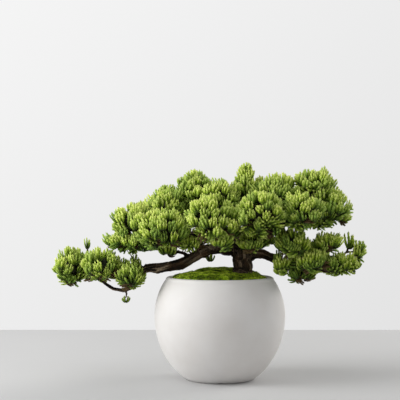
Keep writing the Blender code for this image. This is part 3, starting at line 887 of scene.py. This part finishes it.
@dataclass
class Pot:
    """The turned pot, with its drain holes and the grooves under its foot."""

    wall: float = 6.0 * MM
    floor: float = 8.0 * MM
    drawn_radius: float = 80.0 * MM  # the CAD pot's facets fall short of it by up to facet_slack
    facet_slack: float = 0.5 * MM
    belly_share: float = 0.616  # how high the widest ring is
    lower_reach: float = 1.162  # how far its curve would go on, against its height
    upper_reach: float = 1.677
    foot_round: float = 1.2 * MM  # the size of foot_curve, whose points go inwards and up
    foot_curve: tuple[tuple[float, float], ...] = ((0.1, 0.62), (0.3, 0.3), (0.6, 0.08), (1.0, 0.0))
    floor_round: float = 9.0 * MM
    below_lip: float = 2.0 * MM
    lip_rows: int = 13
    wall_rows: int = 28
    corner_rows: int = 8
    outside_rows: int = 44
    steps: int = 144
    hole_radius: float = 4.5 * MM
    hole_circle: float = 18.5 * MM
    hole_count: int = 3
    hole_sides: int = 40
    groove_width: float = 5.0 * MM
    groove_depth: float = 1.4 * MM
    sharp_angle: float = math.radians(40.0)
    radius: float = field(init=False)
    height: float = field(init=False)

    def __post_init__(self) -> None:
        """Takes the pot's size from its CAD node."""
        low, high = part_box("pot")
        self.height = high.z
        self.radius = self.drawn_radius if abs(high.x - self.drawn_radius) < self.facet_slack else high.x

    def outside(self, height: float) -> float:
        """Works out the pot's outer curve.

        Args:
            height: the height.

        Returns:
            The outer radius there.
        """
        belly = self.belly_share * self.height
        reach = self.lower_reach * belly if height < belly else self.upper_reach * (self.height - belly)
        offset = (height - belly) / reach
        return self.radius * math.sqrt(max(0.0, 1.0 - offset * offset))

    def inside(self, height: float) -> float:
        """Returns the inner radius at a height."""
        slope = (self.outside(height + MM) - self.outside(height - MM)) / (2.0 * MM)
        return self.outside(height) - self.wall * math.sqrt(1.0 + slope * slope)

    def lip(self) -> list[tuple[float, float]]:
        """Rounds the lip.

        Returns:
            Its points, (radius, height) from inside to outside.
        """
        level = self.height - self.wall / 2.0
        half = (self.outside(level) - self.inside(level)) / 2.0
        middle = (self.outside(level) + self.inside(level)) / 2.0
        angles = even_steps(math.pi, 0.0, self.lip_rows)
        return [(middle + half * math.cos(a), self.height - half + half * math.sin(a)) for a in angles]

    def profile(self) -> list[tuple[float, float]]:
        """Draws the pot's section.

        Returns:
            Its points, (radius, height) from the floor's middle round to the base's.
        """
        lip = self.lip()
        top = lip[0][1] - self.below_lip
        low = self.floor + self.floor_round
        wall = [(self.inside(level), level) for level in even_steps(low, top, self.wall_rows)]
        centre = wall[0][0] - self.floor_round
        corner = [
            (centre + self.floor_round * math.sin(angle), low - self.floor_round * math.cos(angle))
            for angle in even_steps(0.0, math.pi / 2.0, self.corner_rows + 1)[1:-1]
        ]
        levels = even_steps(top, 4.0 * self.foot_round, self.outside_rows)
        outside = [(self.outside(level), level) for level in [*levels, self.foot_round]]
        rim = self.outside(0.0)
        foot = [(rim - inward * self.foot_round, up * self.foot_round) for inward, up in self.foot_curve]
        return [(0.0, self.floor), (centre, self.floor), *corner, *wall, *lip, *outside, *foot, (0.0, 0.0)]

    def turned(self) -> BMesh:
        """Spins the section about the pot's axis.

        Returns:
            The pot, closed and facing outwards.
        """
        bm = bmesh.new()
        verts = [bm.verts.new((radius, 0.0, height)) for radius, height in self.profile()]
        edges = [bm.edges.new(pair) for pair in zip(verts, verts[1:])]
        bmesh.ops.spin(
            bm,
            geom=[*verts, *edges],
            cent=(0.0, 0.0, 0.0),
            axis=UP,
            angle=math.tau,
            steps=self.steps,
            use_merge=True,
        )
        bmesh.ops.remove_doubles(bm, verts=bm.verts, dist=WELD)
        bmesh.ops.recalc_face_normals(bm, faces=bm.faces)
        return bm

    def hole_turns(self) -> list[Matrix]:
        """Returns the turn that brings each drain hole to its place."""
        bearings = [math.tau * hole / self.hole_count + math.pi / 6.0 for hole in range(self.hole_count)]
        return [Matrix.Rotation(bearing, 4, "Z") for bearing in bearings]

    def drains(self) -> BMesh:
        """Makes what is cut away for the drain holes.

        Returns:
            The rods, which pass the floor on both sides.
        """
        bm = bmesh.new()
        spare = 2.0 * MM
        radii = (self.hole_radius, self.hole_radius)
        for turn in self.hole_turns():
            place = turn @ Matrix.Translation((self.hole_circle, 0.0, -spare))
            add_spike(bm, self.hole_sides, radii, self.floor + 2.0 * spare, place)
        return bm

    def grooves(self) -> BMesh:
        """Makes what is cut away under the foot.

        Returns:
            The bars.
        """
        bm = bmesh.new()
        rim = self.outside(0.0)
        size = Matrix.Diagonal((rim, self.groove_width, 2.0 * self.groove_depth, 1.0))
        middle = Matrix.Translation((self.hole_circle + rim / 2.0, 0.0, 0.0))
        for turn in self.hole_turns():
            bmesh.ops.create_cube(bm, size=1.0, matrix=turn @ middle @ size)
        return bm

    def build(self, finish: Material) -> None:
        """Makes the pot.

        Args:
            finish: its ceramic.
        """
        pot = link("round_pot", self.turned(), finish)
        for name, shape in (("drain_holes", self.drains()), ("drain_grooves", self.grooves())):
            cutter = link(name, shape, finish)
            cut = pot.modifiers.new(name, "BOOLEAN")
            cut.operation, cut.solver, cut.object = "DIFFERENCE", "EXACT", cutter
            bm = evaluated(pot)
            bpy.data.objects.remove(cutter)
            pot = link("round_pot", bm, finish)
        pot.data.set_sharp_from_angle(angle=self.sharp_angle)
        add_piece(pot, Slot.CERAMIC, ["pot"])


@dataclass
class Bedding:
    """The soil under the moss and its loose top grains."""

    grain_size: float = 1.7 * MM
    grain_kinds: int = 5
    spacing: float = 2.1 * MM
    top_depth: float = 14.0 * MM  # how deep under the soil's highest point grains still lie
    clearance: float = 4.0 * MM  # how near the moss or wood may come down over a grain
    raised: float = 0.25 * MM  # how high a grain's middle is over the soil
    seed: int = 31

    def grain_shapes(self, draw: random.Random) -> list[Mesh]:
        """Makes a few crumbs of soil to copy.

        Args:
            draw: where their chances come from.

        Returns:
            The crumbs.
        """
        made = []
        for number in range(self.grain_kinds):
            bm = empty_growth()
            bmesh.ops.create_icosphere(bm, subdivisions=1, radius=self.grain_size / 2.0)
            for vert in bm.verts:
                vert.co *= draw.uniform(0.72, 1.15)
            bmesh.ops.scale(bm, vec=(1.0, draw.uniform(0.7, 1.0), draw.uniform(0.6, 0.85)), verts=bm.verts)
            made.append(as_template(f"soil_crumb_{number}", bm))
        return made

    def build(self, covers: list[Surface], soil: Material, crumbs: Material) -> None:
        """Dresses the soil and scatters crumbs wherever it shows.

        Args:
            covers: the moss and the wood, which hide the soil.
            soil: the finish of the soil's body.
            crumbs: the finish of its loose grains.
        """
        draw = random.Random(self.seed)
        dress_node("soil", soil)
        shapes = self.grain_shapes(draw)
        ground = Surface("soil")

        def bare(seat: Seat) -> bool:
            """Says whether a place is on the soil's top, with nothing right over it.

            Args:
                seat: the place.

            Returns:
                Whether it is.
            """
            if seat.facing.z < 0.5 or seat.point.z < ground.high.z - self.top_depth:
                return False
            start = seat.point + UP * 0.1 * MM
            return all(cover.tree.ray_cast(start, UP, self.clearance)[0] is None for cover in covers)

        bm = empty_growth()
        for seat in ground.scatter(self.spacing, draw, bare):
            size = draw.uniform(0.6, 1.25)
            turn = turned_to(chance_way(draw, 1, 1).normalized(), 0.0)
            place = Matrix.Translation(seat.point + UP * self.raised) @ turn @ Matrix.Scale(size, 4)
            add_copy(bm, draw.choice(shapes), place, draw.random())
        add_piece(link("soil_crumbs", bm, crumbs), Slot.SOIL)


@dataclass
class Moss:
    """The moss cushions: a mounded body under thousands of short sprigs."""

    spacing: float = 1.45 * MM
    sprig_height: float = 1.7 * MM
    sprig_radii: tuple[float, float] = (0.42 * MM, 0.08 * MM)
    sprig_root: float = 0.3 * MM
    sprig_kinds: int = 6
    mound_size: float = 12.0 * MM
    mound_rise: float = 1.7 * MM
    coarsest: float = 3.0 * MM  # the longest edge that is left before the mounds are shaped
    seed: int = 5

    def sprigs(self, draw: random.Random) -> list[Mesh]:
        """Makes a few sprigs to copy, each of three leaning spikes.

        Args:
            draw: where their chances come from.

        Returns:
            The sprigs.
        """
        made = []
        for number in range(self.sprig_kinds):
            bm = empty_growth()
            for spike in range(3):
                lean = Matrix.Rotation(math.tau * spike / 3.0 + draw.uniform(-0.5, 0.5), 4, "Z")
                lean = lean @ Matrix.Rotation(draw.uniform(0.15, 0.6), 4, "Y")
                height = self.sprig_height * draw.uniform(0.75, 1.2)
                place = lean @ Matrix.Translation((0.0, 0.0, -self.sprig_root))
                add_spike(bm, 3, self.sprig_radii, height, place)
            layer = bm.verts.layers.float["along"]
            for vert in bm.verts:
                # a sprig's foot gets a low along, which paints the shade between sprigs
                vert[layer] = max(0.0, min(1.0, 0.25 + vert.co.z / self.sprig_height * 0.7))
            made.append(as_template(f"moss_sprig_{number}", bm))
        return made

    def mound(self, point: Vector) -> float:
        """Works out how far the cushion swells.

        Args:
            point: the point.

        Returns:
            About 1 on a mound and -1 between two.
        """
        cells = noise.voronoi(point / self.mound_size)[0]
        return 1.0 - 2.2 * min(1.0, cells[0]) + 0.25 * noise.noise(point / (0.3 * self.mound_size))

    def build(self, node: str, sprigs: list[Mesh], wood: Surface, finish: Material) -> None:
        """Makes one cushion.

        Args:
            node: the cushion's CAD node.
            sprigs: what is copied over it.
            wood: the tree's wood, which nothing grows into.
            finish: its green.
        """
        draw = random.Random(f"{self.seed}{node}")
        cushion = Surface(node)
        bmesh.ops.subdivide_edges(
            cushion.bm,
            edges=[edge for edge in cushion.bm.edges if edge.calc_length() > self.coarsest],
            cuts=2,
            use_grid_fill=True,
        )
        bmesh.ops.triangulate(cushion.bm, faces=cushion.bm.faces)
        cushion.bm.normal_update()
        for vert in cushion.bm.verts:
            share = max(0.0, vert.normal.z)
            vert.co += vert.normal * self.mound_rise * share * (self.mound(vert.co) - 1.0)
        cushion.bm.normal_update()

        def outdoors(seat: Seat) -> bool:
            """Returns whether a sprig can grow at a place."""
            return seat.facing.z > -0.1 and not wood.holds(seat.point + seat.facing * MM)

        bm = empty_growth()
        seats = cushion.scatter(self.spacing, draw, outdoors)
        add_shape(bm, cushion.bm)
        along = bm.verts.layers.float["along"]
        for vert in bm.verts:
            # the cushion's body is painted darker in the dips between mounds, as shade
            vert[along] = 0.12 + 0.22 * max(-0.4, min(1.0, self.mound(vert.co)))
        for seat in seats:
            wander = Vector((draw.gauss(0, 0.18), draw.gauss(0, 0.18), 0.0))
            facing = (seat.facing + UP * 0.35 + wander).normalized()
            size = Matrix.Scale(draw.uniform(0.75, 1.15), 4)
            place = Matrix.Translation(seat.point) @ turned_to(facing, draw.uniform(0.0, math.tau)) @ size
            add_copy(bm, draw.choice(sprigs), place, draw.random() + 0.3 * self.mound(seat.point))
        add_piece(link(f"{node}_cushion", bm, finish), Slot.MOSS, [node])


@dataclass
class Wood:
    """The trunk, arms, branches and roots, with bark in strips along every limb."""

    voxel: float = 0.85 * MM
    strip: float = 3.0 * MM
    lift: float = 0.22  # how far a strip stands out, against the limb's girth
    most_lift: float = 1.7 * MM
    knot_size: float = 1.0 / 85.0
    knot_rise: float = 2.0 * MM
    knot_girth: float = 5.0 * MM  # a thinner limb swells less
    widest: float = 14.0 * MM
    collar: Place = (0.028, 0.0, 0.100)  # where the trunk meets the soil

    def build(self, surface: Surface, finish: Material) -> None:
        """Makes the wood.

        Args:
            surface: the CAD wood, to measure each limb's girth from.
            finish: its bark.
        """
        body = in_scene("rough_wood", as_mesh("rough_wood", surface.bm))
        remesh = body.modifiers.new("fine_skin", "REMESH")
        remesh.mode, remesh.voxel_size = "VOXEL", self.voxel
        bm = evaluated(body)
        axes = {"use_axis_x": True, "use_axis_y": True, "use_axis_z": True}
        bmesh.ops.smooth_vert(bm, verts=bm.verts, factor=0.5, **axes)
        bm.normal_update()
        across = bm.verts.layers.float_vector.new("across")
        reach = bm.verts.layers.float.new("reach")
        rise = bm.verts.layers.float.new("rise")
        collar = Vector(self.collar)
        moved = []
        for vert in bm.verts:
            hit = surface.tree.ray_cast(vert.co - vert.normal * 0.3 * MM, -vert.normal)
            girth = min(self.widest, (hit[3] or self.widest) / 2.0)
            radial = vert.normal * girth
            far = (vert.co - collar).length
            vert[across], vert[reach] = radial, far
            vert[rise] = self.strips(radial, far)
            lift = vert[rise] * min(self.most_lift, self.lift * girth)
            knots = noise.noise(vert.co / self.knot_size) * min(1.0, girth / self.knot_girth) ** 2
            moved.append((vert, vert.normal.copy(), lift + knots * self.knot_rise))
        for vert, facing, lift in moved:
            vert.co += facing * lift
        add_piece(link("bark_and_branches", bm, finish), Slot.BARK, ["tree_wood"])

    def strips(self, radial: Vector, far: float) -> float:
        """Works out how far the bark stands out, in strips that follow the limb.

        Args:
            radial: the way out of the limb, as long as its girth.
            far: how far the place is from the collar.

        Returns:
            About -1 in a crack and 1 on a strip.
        """
        slide = Vector((far, 0.7 * far, 1.3 * far)) * 22.0
        strip = noise.noise(radial / self.strip + slide)
        fine = noise.noise(radial / (0.45 * self.strip) + slide * 2.3 + Vector((7.0, 3.0, 1.0)))
        knot = noise.noise(Vector((far * 60.0, radial.z * 60.0, 4.0)))
        ridged = 1.0 - 2.0 * abs(strip)
        return 0.75 * ridged + 0.4 * fine + 0.45 * knot - 0.35


@dataclass
class Shoots:
    """Clusters of needled shoots, which every pad is grown from."""

    length: float = 13.5 * MM
    core: float = 1.3 * MM
    needle: float = 0.85 * MM
    needle_rise: float = 2.2 * MM  # how far a needle's point is over its middle
    whorls: int = 4
    blades: int = 4
    fan: float = math.radians(54.0)  # the outermost shoots' lean
    root: float = 1.5 * MM
    straighten: float = 0.46  # how much a shoot turns up towards its end
    point_light: float = 0.09  # how much brighter a needle's point is
    full_kinds: int = 8
    full_count: int = 13
    sparse_kinds: int = 5
    sparse_count: int = 7
    seed: int = 11
    full: list[Mesh] = field(default_factory=list)
    sparse: list[Mesh] = field(default_factory=list)

    def __post_init__(self) -> None:
        """Grows the clusters that are copied."""
        draw = random.Random(self.seed)
        self.full = [self.cluster(f"full_{kind}", self.full_count, draw) for kind in range(self.full_kinds)]
        self.sparse = [
            self.cluster(f"sparse_{kind}", self.sparse_count, draw) for kind in range(self.sparse_kinds)
        ]

    def shoot(self, length: float, draw: random.Random) -> Mesh:
        """Grows one upright shoot, a stem whose every face is drawn out into a needle.

        Args:
            length: how long it is.
            draw: where its chances come from.

        Returns:
            The shoot.
        """
        bm = empty_growth()
        add_spike(bm, self.blades, (self.core * 0.8, self.core * 0.5), length)
        ring_stem(bm, length, self.whorls - 1)
        for vert in bm.verts:
            ring = round(vert.co.z / length * self.whorls)
            swell = 1.0 + 0.35 * math.sin(math.pi * min(1.0, vert.co.z / length))
            twist = Matrix.Rotation(ring * (math.pi / self.blades + 0.2), 3, "Z")
            vert.co = twist @ Vector((vert.co.x * swell, vert.co.y * swell, vert.co.z))
        bm.normal_update()
        sides = [face for face in bm.faces if face.normal.z > -0.8]
        ends = bmesh.ops.poke(bm, faces=sides, offset=0.0, center_mode="MEAN", use_relative_offset=False)
        for vert in ends["verts"]:
            outward = Vector((vert.co.x, vert.co.y, 0.0))
            if outward.length < 0.1 * MM:
                vert.co.z += 0.8 * self.needle_rise
            else:
                vert.co += outward.normalized() * self.needle * draw.uniform(0.75, 1.2)
                vert.co.z += self.needle_rise * draw.uniform(0.8, 1.2)
        along = bm.verts.layers.float["along"]
        points = set(ends["verts"])
        for vert in bm.verts:
            point = self.point_light if vert in points else -self.point_light
            # a shoot's foot starts at along 0.12, where its finish paints the shade between shoots
            vert[along] = 0.12 + 0.76 * max(0.0, min(1.15, vert.co.z / length)) + point
        return as_template("shoot", bm)

    def cluster(self, name: str, count: int, draw: random.Random) -> Mesh:
        """Grows one cluster, a dome of shoots that fan out from its foot at the origin.

        Args:
            name: the mesh's name.
            count: how many shoots it has.
            draw: where its chances come from.

        Returns:
            The cluster.
        """
        bm = empty_growth()
        for number in range(count):
            share = (number + 0.5) / count
            lean = self.fan * math.sqrt(share) * draw.uniform(0.88, 1.1)
            bearing = number * GOLDEN_ANGLE + draw.uniform(-0.25, 0.25)
            aside = math.sin(lean)
            facing = Vector((aside * math.cos(bearing), aside * math.sin(bearing), math.cos(lean)))
            length = self.length * (1.0 - 0.22 * share) * draw.uniform(0.82, 1.14)
            place = Matrix.Translation(facing * self.root) @ turned_to(facing, draw.uniform(0.0, math.tau))
            shoot = self.shoot(length, draw)
            fresh = add_copy(bm, shoot, place, draw.uniform(-0.14, 0.14))
            bpy.data.meshes.remove(shoot)
            for vert in fresh:
                part = (vert.co - facing * self.root).dot(facing) / length
                vert.co += (UP - facing) * (self.straighten * length * part * abs(part))
        return as_template(name, bm)


@dataclass
class Pad:
    """One foliage pad: clusters of shoots over a heart of painted shade, on the pad's own CAD shape."""

    surface: Surface
    shoots: Shoots
    spacing: float = 10.8 * MM
    depth: float = 13.0 * MM
    heart: float = 0.45
    cover_reach: float = 6.0 * MM  # how far outside a place another pad still hides it
    covered_share: float = 0.65  # of the clusters that another pad hides
    bare_share: float = 0.6  # of the clusters underneath, which are left out
    dead_share: float = 0.3  # of the clusters underneath, which are brown
    dead_tint: float = -1.3
    seed: int = 3
    roots: list[Vector] = field(default_factory=list)

    def hidden(self, seat: Seat, others: list[Surface]) -> bool:
        """Says whether another pad covers a place.

        Args:
            seat: the place.
            others: the other pads.

        Returns:
            Whether it is.
        """
        outside = seat.point + seat.facing * self.cover_reach
        return any(other.holds(outside) for other in others)

    def facing_of(self, seat: Seat, draw: random.Random) -> Vector:
        """Points a cluster outwards and up, as shoots seek the light.

        Args:
            seat: the place.
            draw: where its chances come from.

        Returns:
            The way it points.
        """
        radial = (seat.point - self.surface.centre).normalized()
        lift = 1.0 if seat.facing.z > -0.35 else 0.45
        wander = chance_way(draw, 0.2, 0.1)
        return (seat.facing * 0.38 + radial * 0.28 + UP * lift + wander).normalized()

    def root_of(self, seat: Seat, facing: Vector) -> Vector:
        """Roots a cluster so that its tips reach a place and its foot is in the pad.

        Args:
            seat: the place.
            facing: the way the cluster points.

        Returns:
            Its root.
        """
        depth = min(self.depth, 0.75 * (self.surface.high.z - self.surface.low.z))
        root = seat.point - facing * depth - Vector((seat.facing.x, seat.facing.y, 0.0)) * 2.0 * MM
        for _ in range(6):
            if self.surface.holds(root):
                break
            root += (self.surface.centre - root) * 0.3
        return root

    def build(self, others: list[Surface], finish: Material) -> None:
        """Grows the pad.

        Args:
            others: the pads round it.
            finish: its green.
        """
        draw = random.Random(f"{self.seed}{self.surface.node}")
        near = [other for other in others if other is not self.surface]

        def open_air(seat: Seat) -> bool:
            """Says whether a cluster is wanted at a place.

            Args:
                seat: the place.

            Returns:
                Whether it is.
            """
            if seat.facing.z < -0.6 and draw.random() < self.bare_share:
                return False
            return not self.hidden(seat, near) or draw.random() < self.covered_share

        # the heart is a dark body of painted shade under the clusters
        bm = self.shade_heart(draw)
        for seat in self.surface.scatter(self.spacing, draw, open_air):
            facing = self.facing_of(seat, draw)
            root = self.root_of(seat, facing)
            self.roots.append(root)
            low = seat.facing.z < -0.25
            template = draw.choice(self.shoots.sparse if low else self.shoots.full)
            wide, tall = draw.uniform(0.8, 1.12), draw.uniform(0.8, 1.2)
            size = Matrix.Diagonal((wide, wide, tall, 1.0))
            place = Matrix.Translation(root) @ turned_to(facing, draw.uniform(0.0, math.tau)) @ size
            # the 0.18 * facing.z term paints upward-facing clusters fresher and brighter, as light from
            # above; the uniform draw is their own random vigour
            tint = draw.uniform(0.2, 0.9) + 0.18 * seat.facing.z
            if seat.facing.z < -0.65 and draw.random() < self.dead_share:
                tint = self.dead_tint
            add_copy(bm, template, place, tint)
        name = self.surface.node.replace("pad_", "foliage_")
        add_piece(link(name, bm, finish), Slot.FOLIAGE, [self.surface.node])

    def shade_heart(self, draw: random.Random) -> BMesh:
        """Makes the pad's heart, a shrunken and roughened copy of its CAD shape, painted near black as shade
        by its along of 0.

        Args:
            draw: where its chances come from.

        Returns:
            The heart.
        """
        bm = empty_growth()
        add_shape(bm, self.surface.bm)
        bmesh.ops.subdivide_edges(bm, edges=bm.edges, cuts=1, use_grid_fill=True)
        bmesh.ops.triangulate(bm, faces=bm.faces)
        shift = draw.uniform(0.0, 50.0)
        for vert in bm.verts:
            rough = 1.0 + 0.3 * noise.noise(vert.co * 260.0 + Vector((shift, 0.0, 0.0)))
            vert.co = self.surface.centre + (vert.co - self.surface.centre) * self.heart * rough
        return bm


@dataclass
class Tuft:
    """A single small tuft at the end of a twig."""

    node: str
    shoots: Shoots
    wider: float = 1.25  # its width against its node's
    taller: float = 1.5
    lowered: float = 0.35  # how far its foot is under its node
    seed: int = 17

    def build(self, finish: Material) -> None:
        """Grows the tuft inside its CAD node's box.

        Args:
            finish: its green.
        """
        draw = random.Random(f"{self.seed}{self.node}")
        low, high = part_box(self.node)
        size = high - low
        foot = Vector(((low.x + high.x) / 2.0, (low.y + high.y) / 2.0, low.z - self.lowered * size.z))
        template = draw.choice(self.shoots.sparse)
        wide = self.wider / (2.0 * max(vert.co.to_2d().length for vert in template.vertices))
        tall = self.taller / max(vert.co.z for vert in template.vertices)
        fit = Matrix.Diagonal((wide * size.x, wide * size.y, tall * size.z, 1.0))
        bm = empty_growth()
        place = Matrix.Translation(foot) @ fit @ Matrix.Rotation(draw.uniform(0.0, math.tau), 4, "Z")
        add_copy(bm, template, place, draw.uniform(0.35, 0.65))
        name = self.node.replace("tuft_", "foliage_tuft_")
        add_piece(link(name, bm, finish), Slot.FOLIAGE, [self.node])


@dataclass
class Twigs:
    """The thin twigs that carry the clusters, from the nearest branch."""

    radii: tuple[float, float] = (0.75 * MM, 0.45 * MM)
    sides: int = 5
    rings: int = 3
    bend: float = 0.09  # to the side, against its length
    sag: float = 0.10
    nearest: float = 1.5 * MM
    farthest: float = 34.0 * MM
    seed: int = 23

    def twig(self, bm: BMesh, start: Vector, end: Vector, draw: random.Random) -> None:
        """Adds one kinked twig.

        Args:
            bm: the bmesh it is added to.
            start: where it leaves the branch.
            end: where its cluster sits.
            draw: where its chances come from.
        """
        along = end - start
        own = empty_bark()
        across, reach = own.verts.layers.float_vector["across"], own.verts.layers.float["reach"]
        add_spike(own, self.sides, self.radii, along.length)
        ring_stem(own, along.length, self.rings)
        side = Vector((draw.uniform(-1, 1), draw.uniform(-1, 1), 0.0)) * self.bend * along.length
        turn = turned_to(along.normalized(), draw.uniform(0.0, math.tau))
        offset = draw.uniform(0.0, 3.0)
        for vert in own.verts:
            bow = math.sin(math.pi * vert.co.z / along.length)
            vert[across] = Vector((vert.co.x, vert.co.y, 0.0))
            vert[reach] = offset + vert.co.z
            vert.co = turn @ (vert.co + side * bow) + start - UP * (self.sag * along.length * bow)
        add_shape(bm, own)
        own.free()

    def build(self, name: str, pads: list[Pad], wood: Surface, finish: Material) -> None:
        """Makes the twigs of a group of pads.

        Args:
            name: the piece's name.
            pads: the pads they carry.
            wood: the branches they leave from.
            finish: their bark.
        """
        draw = random.Random(f"{self.seed}{name}")
        bm = empty_bark()
        for pad in pads:
            for root in pad.roots:
                start, _, _, distance = wood.tree.find_nearest(root)
                if self.nearest < distance < self.farthest and not wood.holds(root):
                    self.twig(bm, start, root, draw)
        add_piece(link(name, bm, finish), Slot.BARK)


@dataclass(frozen=True)
class Lamp:
    """A square soft light that points at the middle of the object."""

    name: str
    place: Place
    size: float
    power: float
    colour: Colour = (1.0, 1.0, 1.0)

    def hang(self, aim: Vector) -> None:
        """Hangs the lamp.

        Args:
            aim: the place that it points at.
        """
        light = bpy.data.lights.new(self.name, "AREA")
        light.shape, light.size, light.energy, light.color = "SQUARE", self.size, self.power, self.colour
        thing = in_scene(self.name, light)
        thing.location = self.place
        thing.rotation_mode = "QUATERNION"
        thing.rotation_quaternion = (aim - Vector(self.place)).to_track_quat("-Z", "Y")


@dataclass
class Studio:
    """The table, the soft lights, the pale surround and the camera."""

    table_back: float = 0.506
    table_front: float = -1.1
    table_half: float = 1.6
    table_thick: float = 0.03
    table_gap: float = 0.1 * MM  # keeps the table's face off the pot's
    lens: float = 99.0
    eye: Place = (-0.0242, -1.349, 0.219)
    aim: Place = (0.0, 0.0, 0.12)
    lamps: tuple[Lamp, ...] = (
        Lamp("key_light", (-1.65, -0.32, 0.78), 1.1, 25.0),
        Lamp("top_light", (-0.25, -0.35, 1.6), 1.3, 4.5),
        Lamp("back_light", (1.3, 0.9, 0.7), 0.9, 15.0, (1.0, 0.98, 0.95)),
    )
    surround: float = 0.45
    wall: float = 0.835
    wall_slope: Place = (-0.24, 0.0, 0.27)

    def table(self) -> None:
        """Lays the table."""
        bm = bmesh.new()
        deep = self.table_back - self.table_front
        size = Matrix.Diagonal((2.0 * self.table_half, deep, self.table_thick, 1.0))
        middle = (0.0, (self.table_back + self.table_front) / 2.0, -self.table_thick / 2.0 - self.table_gap)
        bmesh.ops.create_cube(bm, size=1.0, matrix=Matrix.Translation(middle) @ size)
        link("table", bm, StageGrey().make(), smooth=False)

    def air(self) -> None:
        """Sets the pale surround: what the camera sees, and the dimmer light that it gives."""
        tree = Graph("studio_air", bpy.data.worlds)
        bpy.context.scene.world = tree.owner
        white = (1.0, 1.0, 1.0)
        way = tree.node("ShaderNodeTexCoord", output="Generated")
        level = tree.dot(way, self.wall_slope) * self.wall + self.wall
        seen = tree.node("ShaderNodeBackground", {}, {"Color": white, "Strength": level})
        given = tree.node("ShaderNodeBackground", {}, {"Color": white, "Strength": self.surround})
        direct = tree.node("ShaderNodeLightPath", output="Is Camera Ray")
        both = tree.node("ShaderNodeMixShader", {}, {0: direct, 1: given, 2: seen})
        tree.end("ShaderNodeOutputWorld", both)

    def camera(self) -> None:
        """Sets up the camera, level and looking straight back."""
        data = bpy.data.cameras.new("camera")
        data.lens, data.sensor_width = self.lens, 36.0
        data.clip_start, data.clip_end = 0.05, 20.0
        thing = in_scene("camera", data)
        thing.location = self.eye
        thing.rotation_euler = (math.pi / 2.0, 0.0, 0.0)
        bpy.context.scene.camera = thing

    def build(self) -> None:
        """Sets the whole studio up."""
        bpy.context.scene.view_settings.view_transform = "Standard"
        self.table()
        for lamp in self.lamps:
            lamp.hang(Vector(self.aim))
        self.air()
        self.camera()


SOIL_SHADES: Stops = (
    (0.0, (0.030, 0.020, 0.012)),
    (0.45, (0.075, 0.048, 0.028)),
    (0.8, (0.15, 0.10, 0.06)),
    (1.0, (0.26, 0.20, 0.14)),
)
GRAVEL_SHADES: Stops = (
    (0.0, (0.10, 0.08, 0.07)),
    (0.4, (0.28, 0.24, 0.20)),
    (0.75, (0.45, 0.41, 0.36)),
    (1.0, (0.30, 0.14, 0.09)),
)
# the last colour of each is the painted shade between grains
GRAVEL = Stones("drainage_gravel", 4.5 * MM, GRAVEL_SHADES, (0.03, 0.026, 0.022))
PLANTING_SOIL = Stones("planting_soil", 2.2 * MM, SOIL_SHADES, (0.012, 0.009, 0.006))
OLD_BARK = FibrousBark(
    name="juniper_bark",
    crack=(0.003, 0.002, 0.001),
    strip=(0.046, 0.030, 0.016),
    weathered=(0.42, 0.32, 0.21),
    rust=(0.15, 0.065, 0.022),
)
TWIG_BARK = FibrousBark(
    name="twig_bark",
    crack=(0.03, 0.016, 0.010),
    strip=(0.15, 0.085, 0.048),
    weathered=(0.28, 0.19, 0.12),
    rust=(0.25, 0.11, 0.05),
    width=0.8 * MM,
)
TWIG_GROUPS = {
    "twigs_crown": ("pad_crown_", "pad_trunk_", "pad_front_low", "pad_right_mid"),
    "twigs_low_left": ("pad_low_left_", "pad_arm_low"),
    "twigs_low_right": ("pad_low_right_", "pad_hanging"),
}


def main() -> None:
    """Builds the pot, what fills it, the wood and all the foliage, and reports each piece."""
    Studio().build()
    nodes = sorted(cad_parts)
    Pot().build(MattCeramic().make())
    dress_node("drain_screen", ScreenPlastic().make())
    dress_node("gravel", GRAVEL.make())
    wood = Surface("tree_wood")
    covers = [Surface(node) for node in nodes if node.startswith("moss_")]
    Bedding().build([*covers, wood], PLANTING_SOIL.make(), GrainSoil(SOIL_SHADES).make())
    moss, moss_green = Moss(), MossGreen().make()
    sprigs = moss.sprigs(random.Random(moss.seed))
    for cover in covers:
        moss.build(cover.node, sprigs, wood, moss_green)
    Wood().build(wood, OLD_BARK.make())
    foliage = JuniperGreen().make()
    shoots = Shoots()
    surfaces = [Surface(node) for node in nodes if node.startswith("pad_")]
    pads = [Pad(surface, shoots) for surface in surfaces]
    for pad in pads:
        pad.build(surfaces, foliage)
    for node in nodes:
        if node.startswith("tuft_"):
            Tuft(node, shoots).build(foliage)
    twig_bark = TWIG_BARK.make()
    for name, prefixes in TWIG_GROUPS.items():
        group = [pad for pad in pads if pad.surface.node.startswith(prefixes)]
        Twigs().build(name, group, wood, twig_bark)


if __name__ == "__main__":
    main()
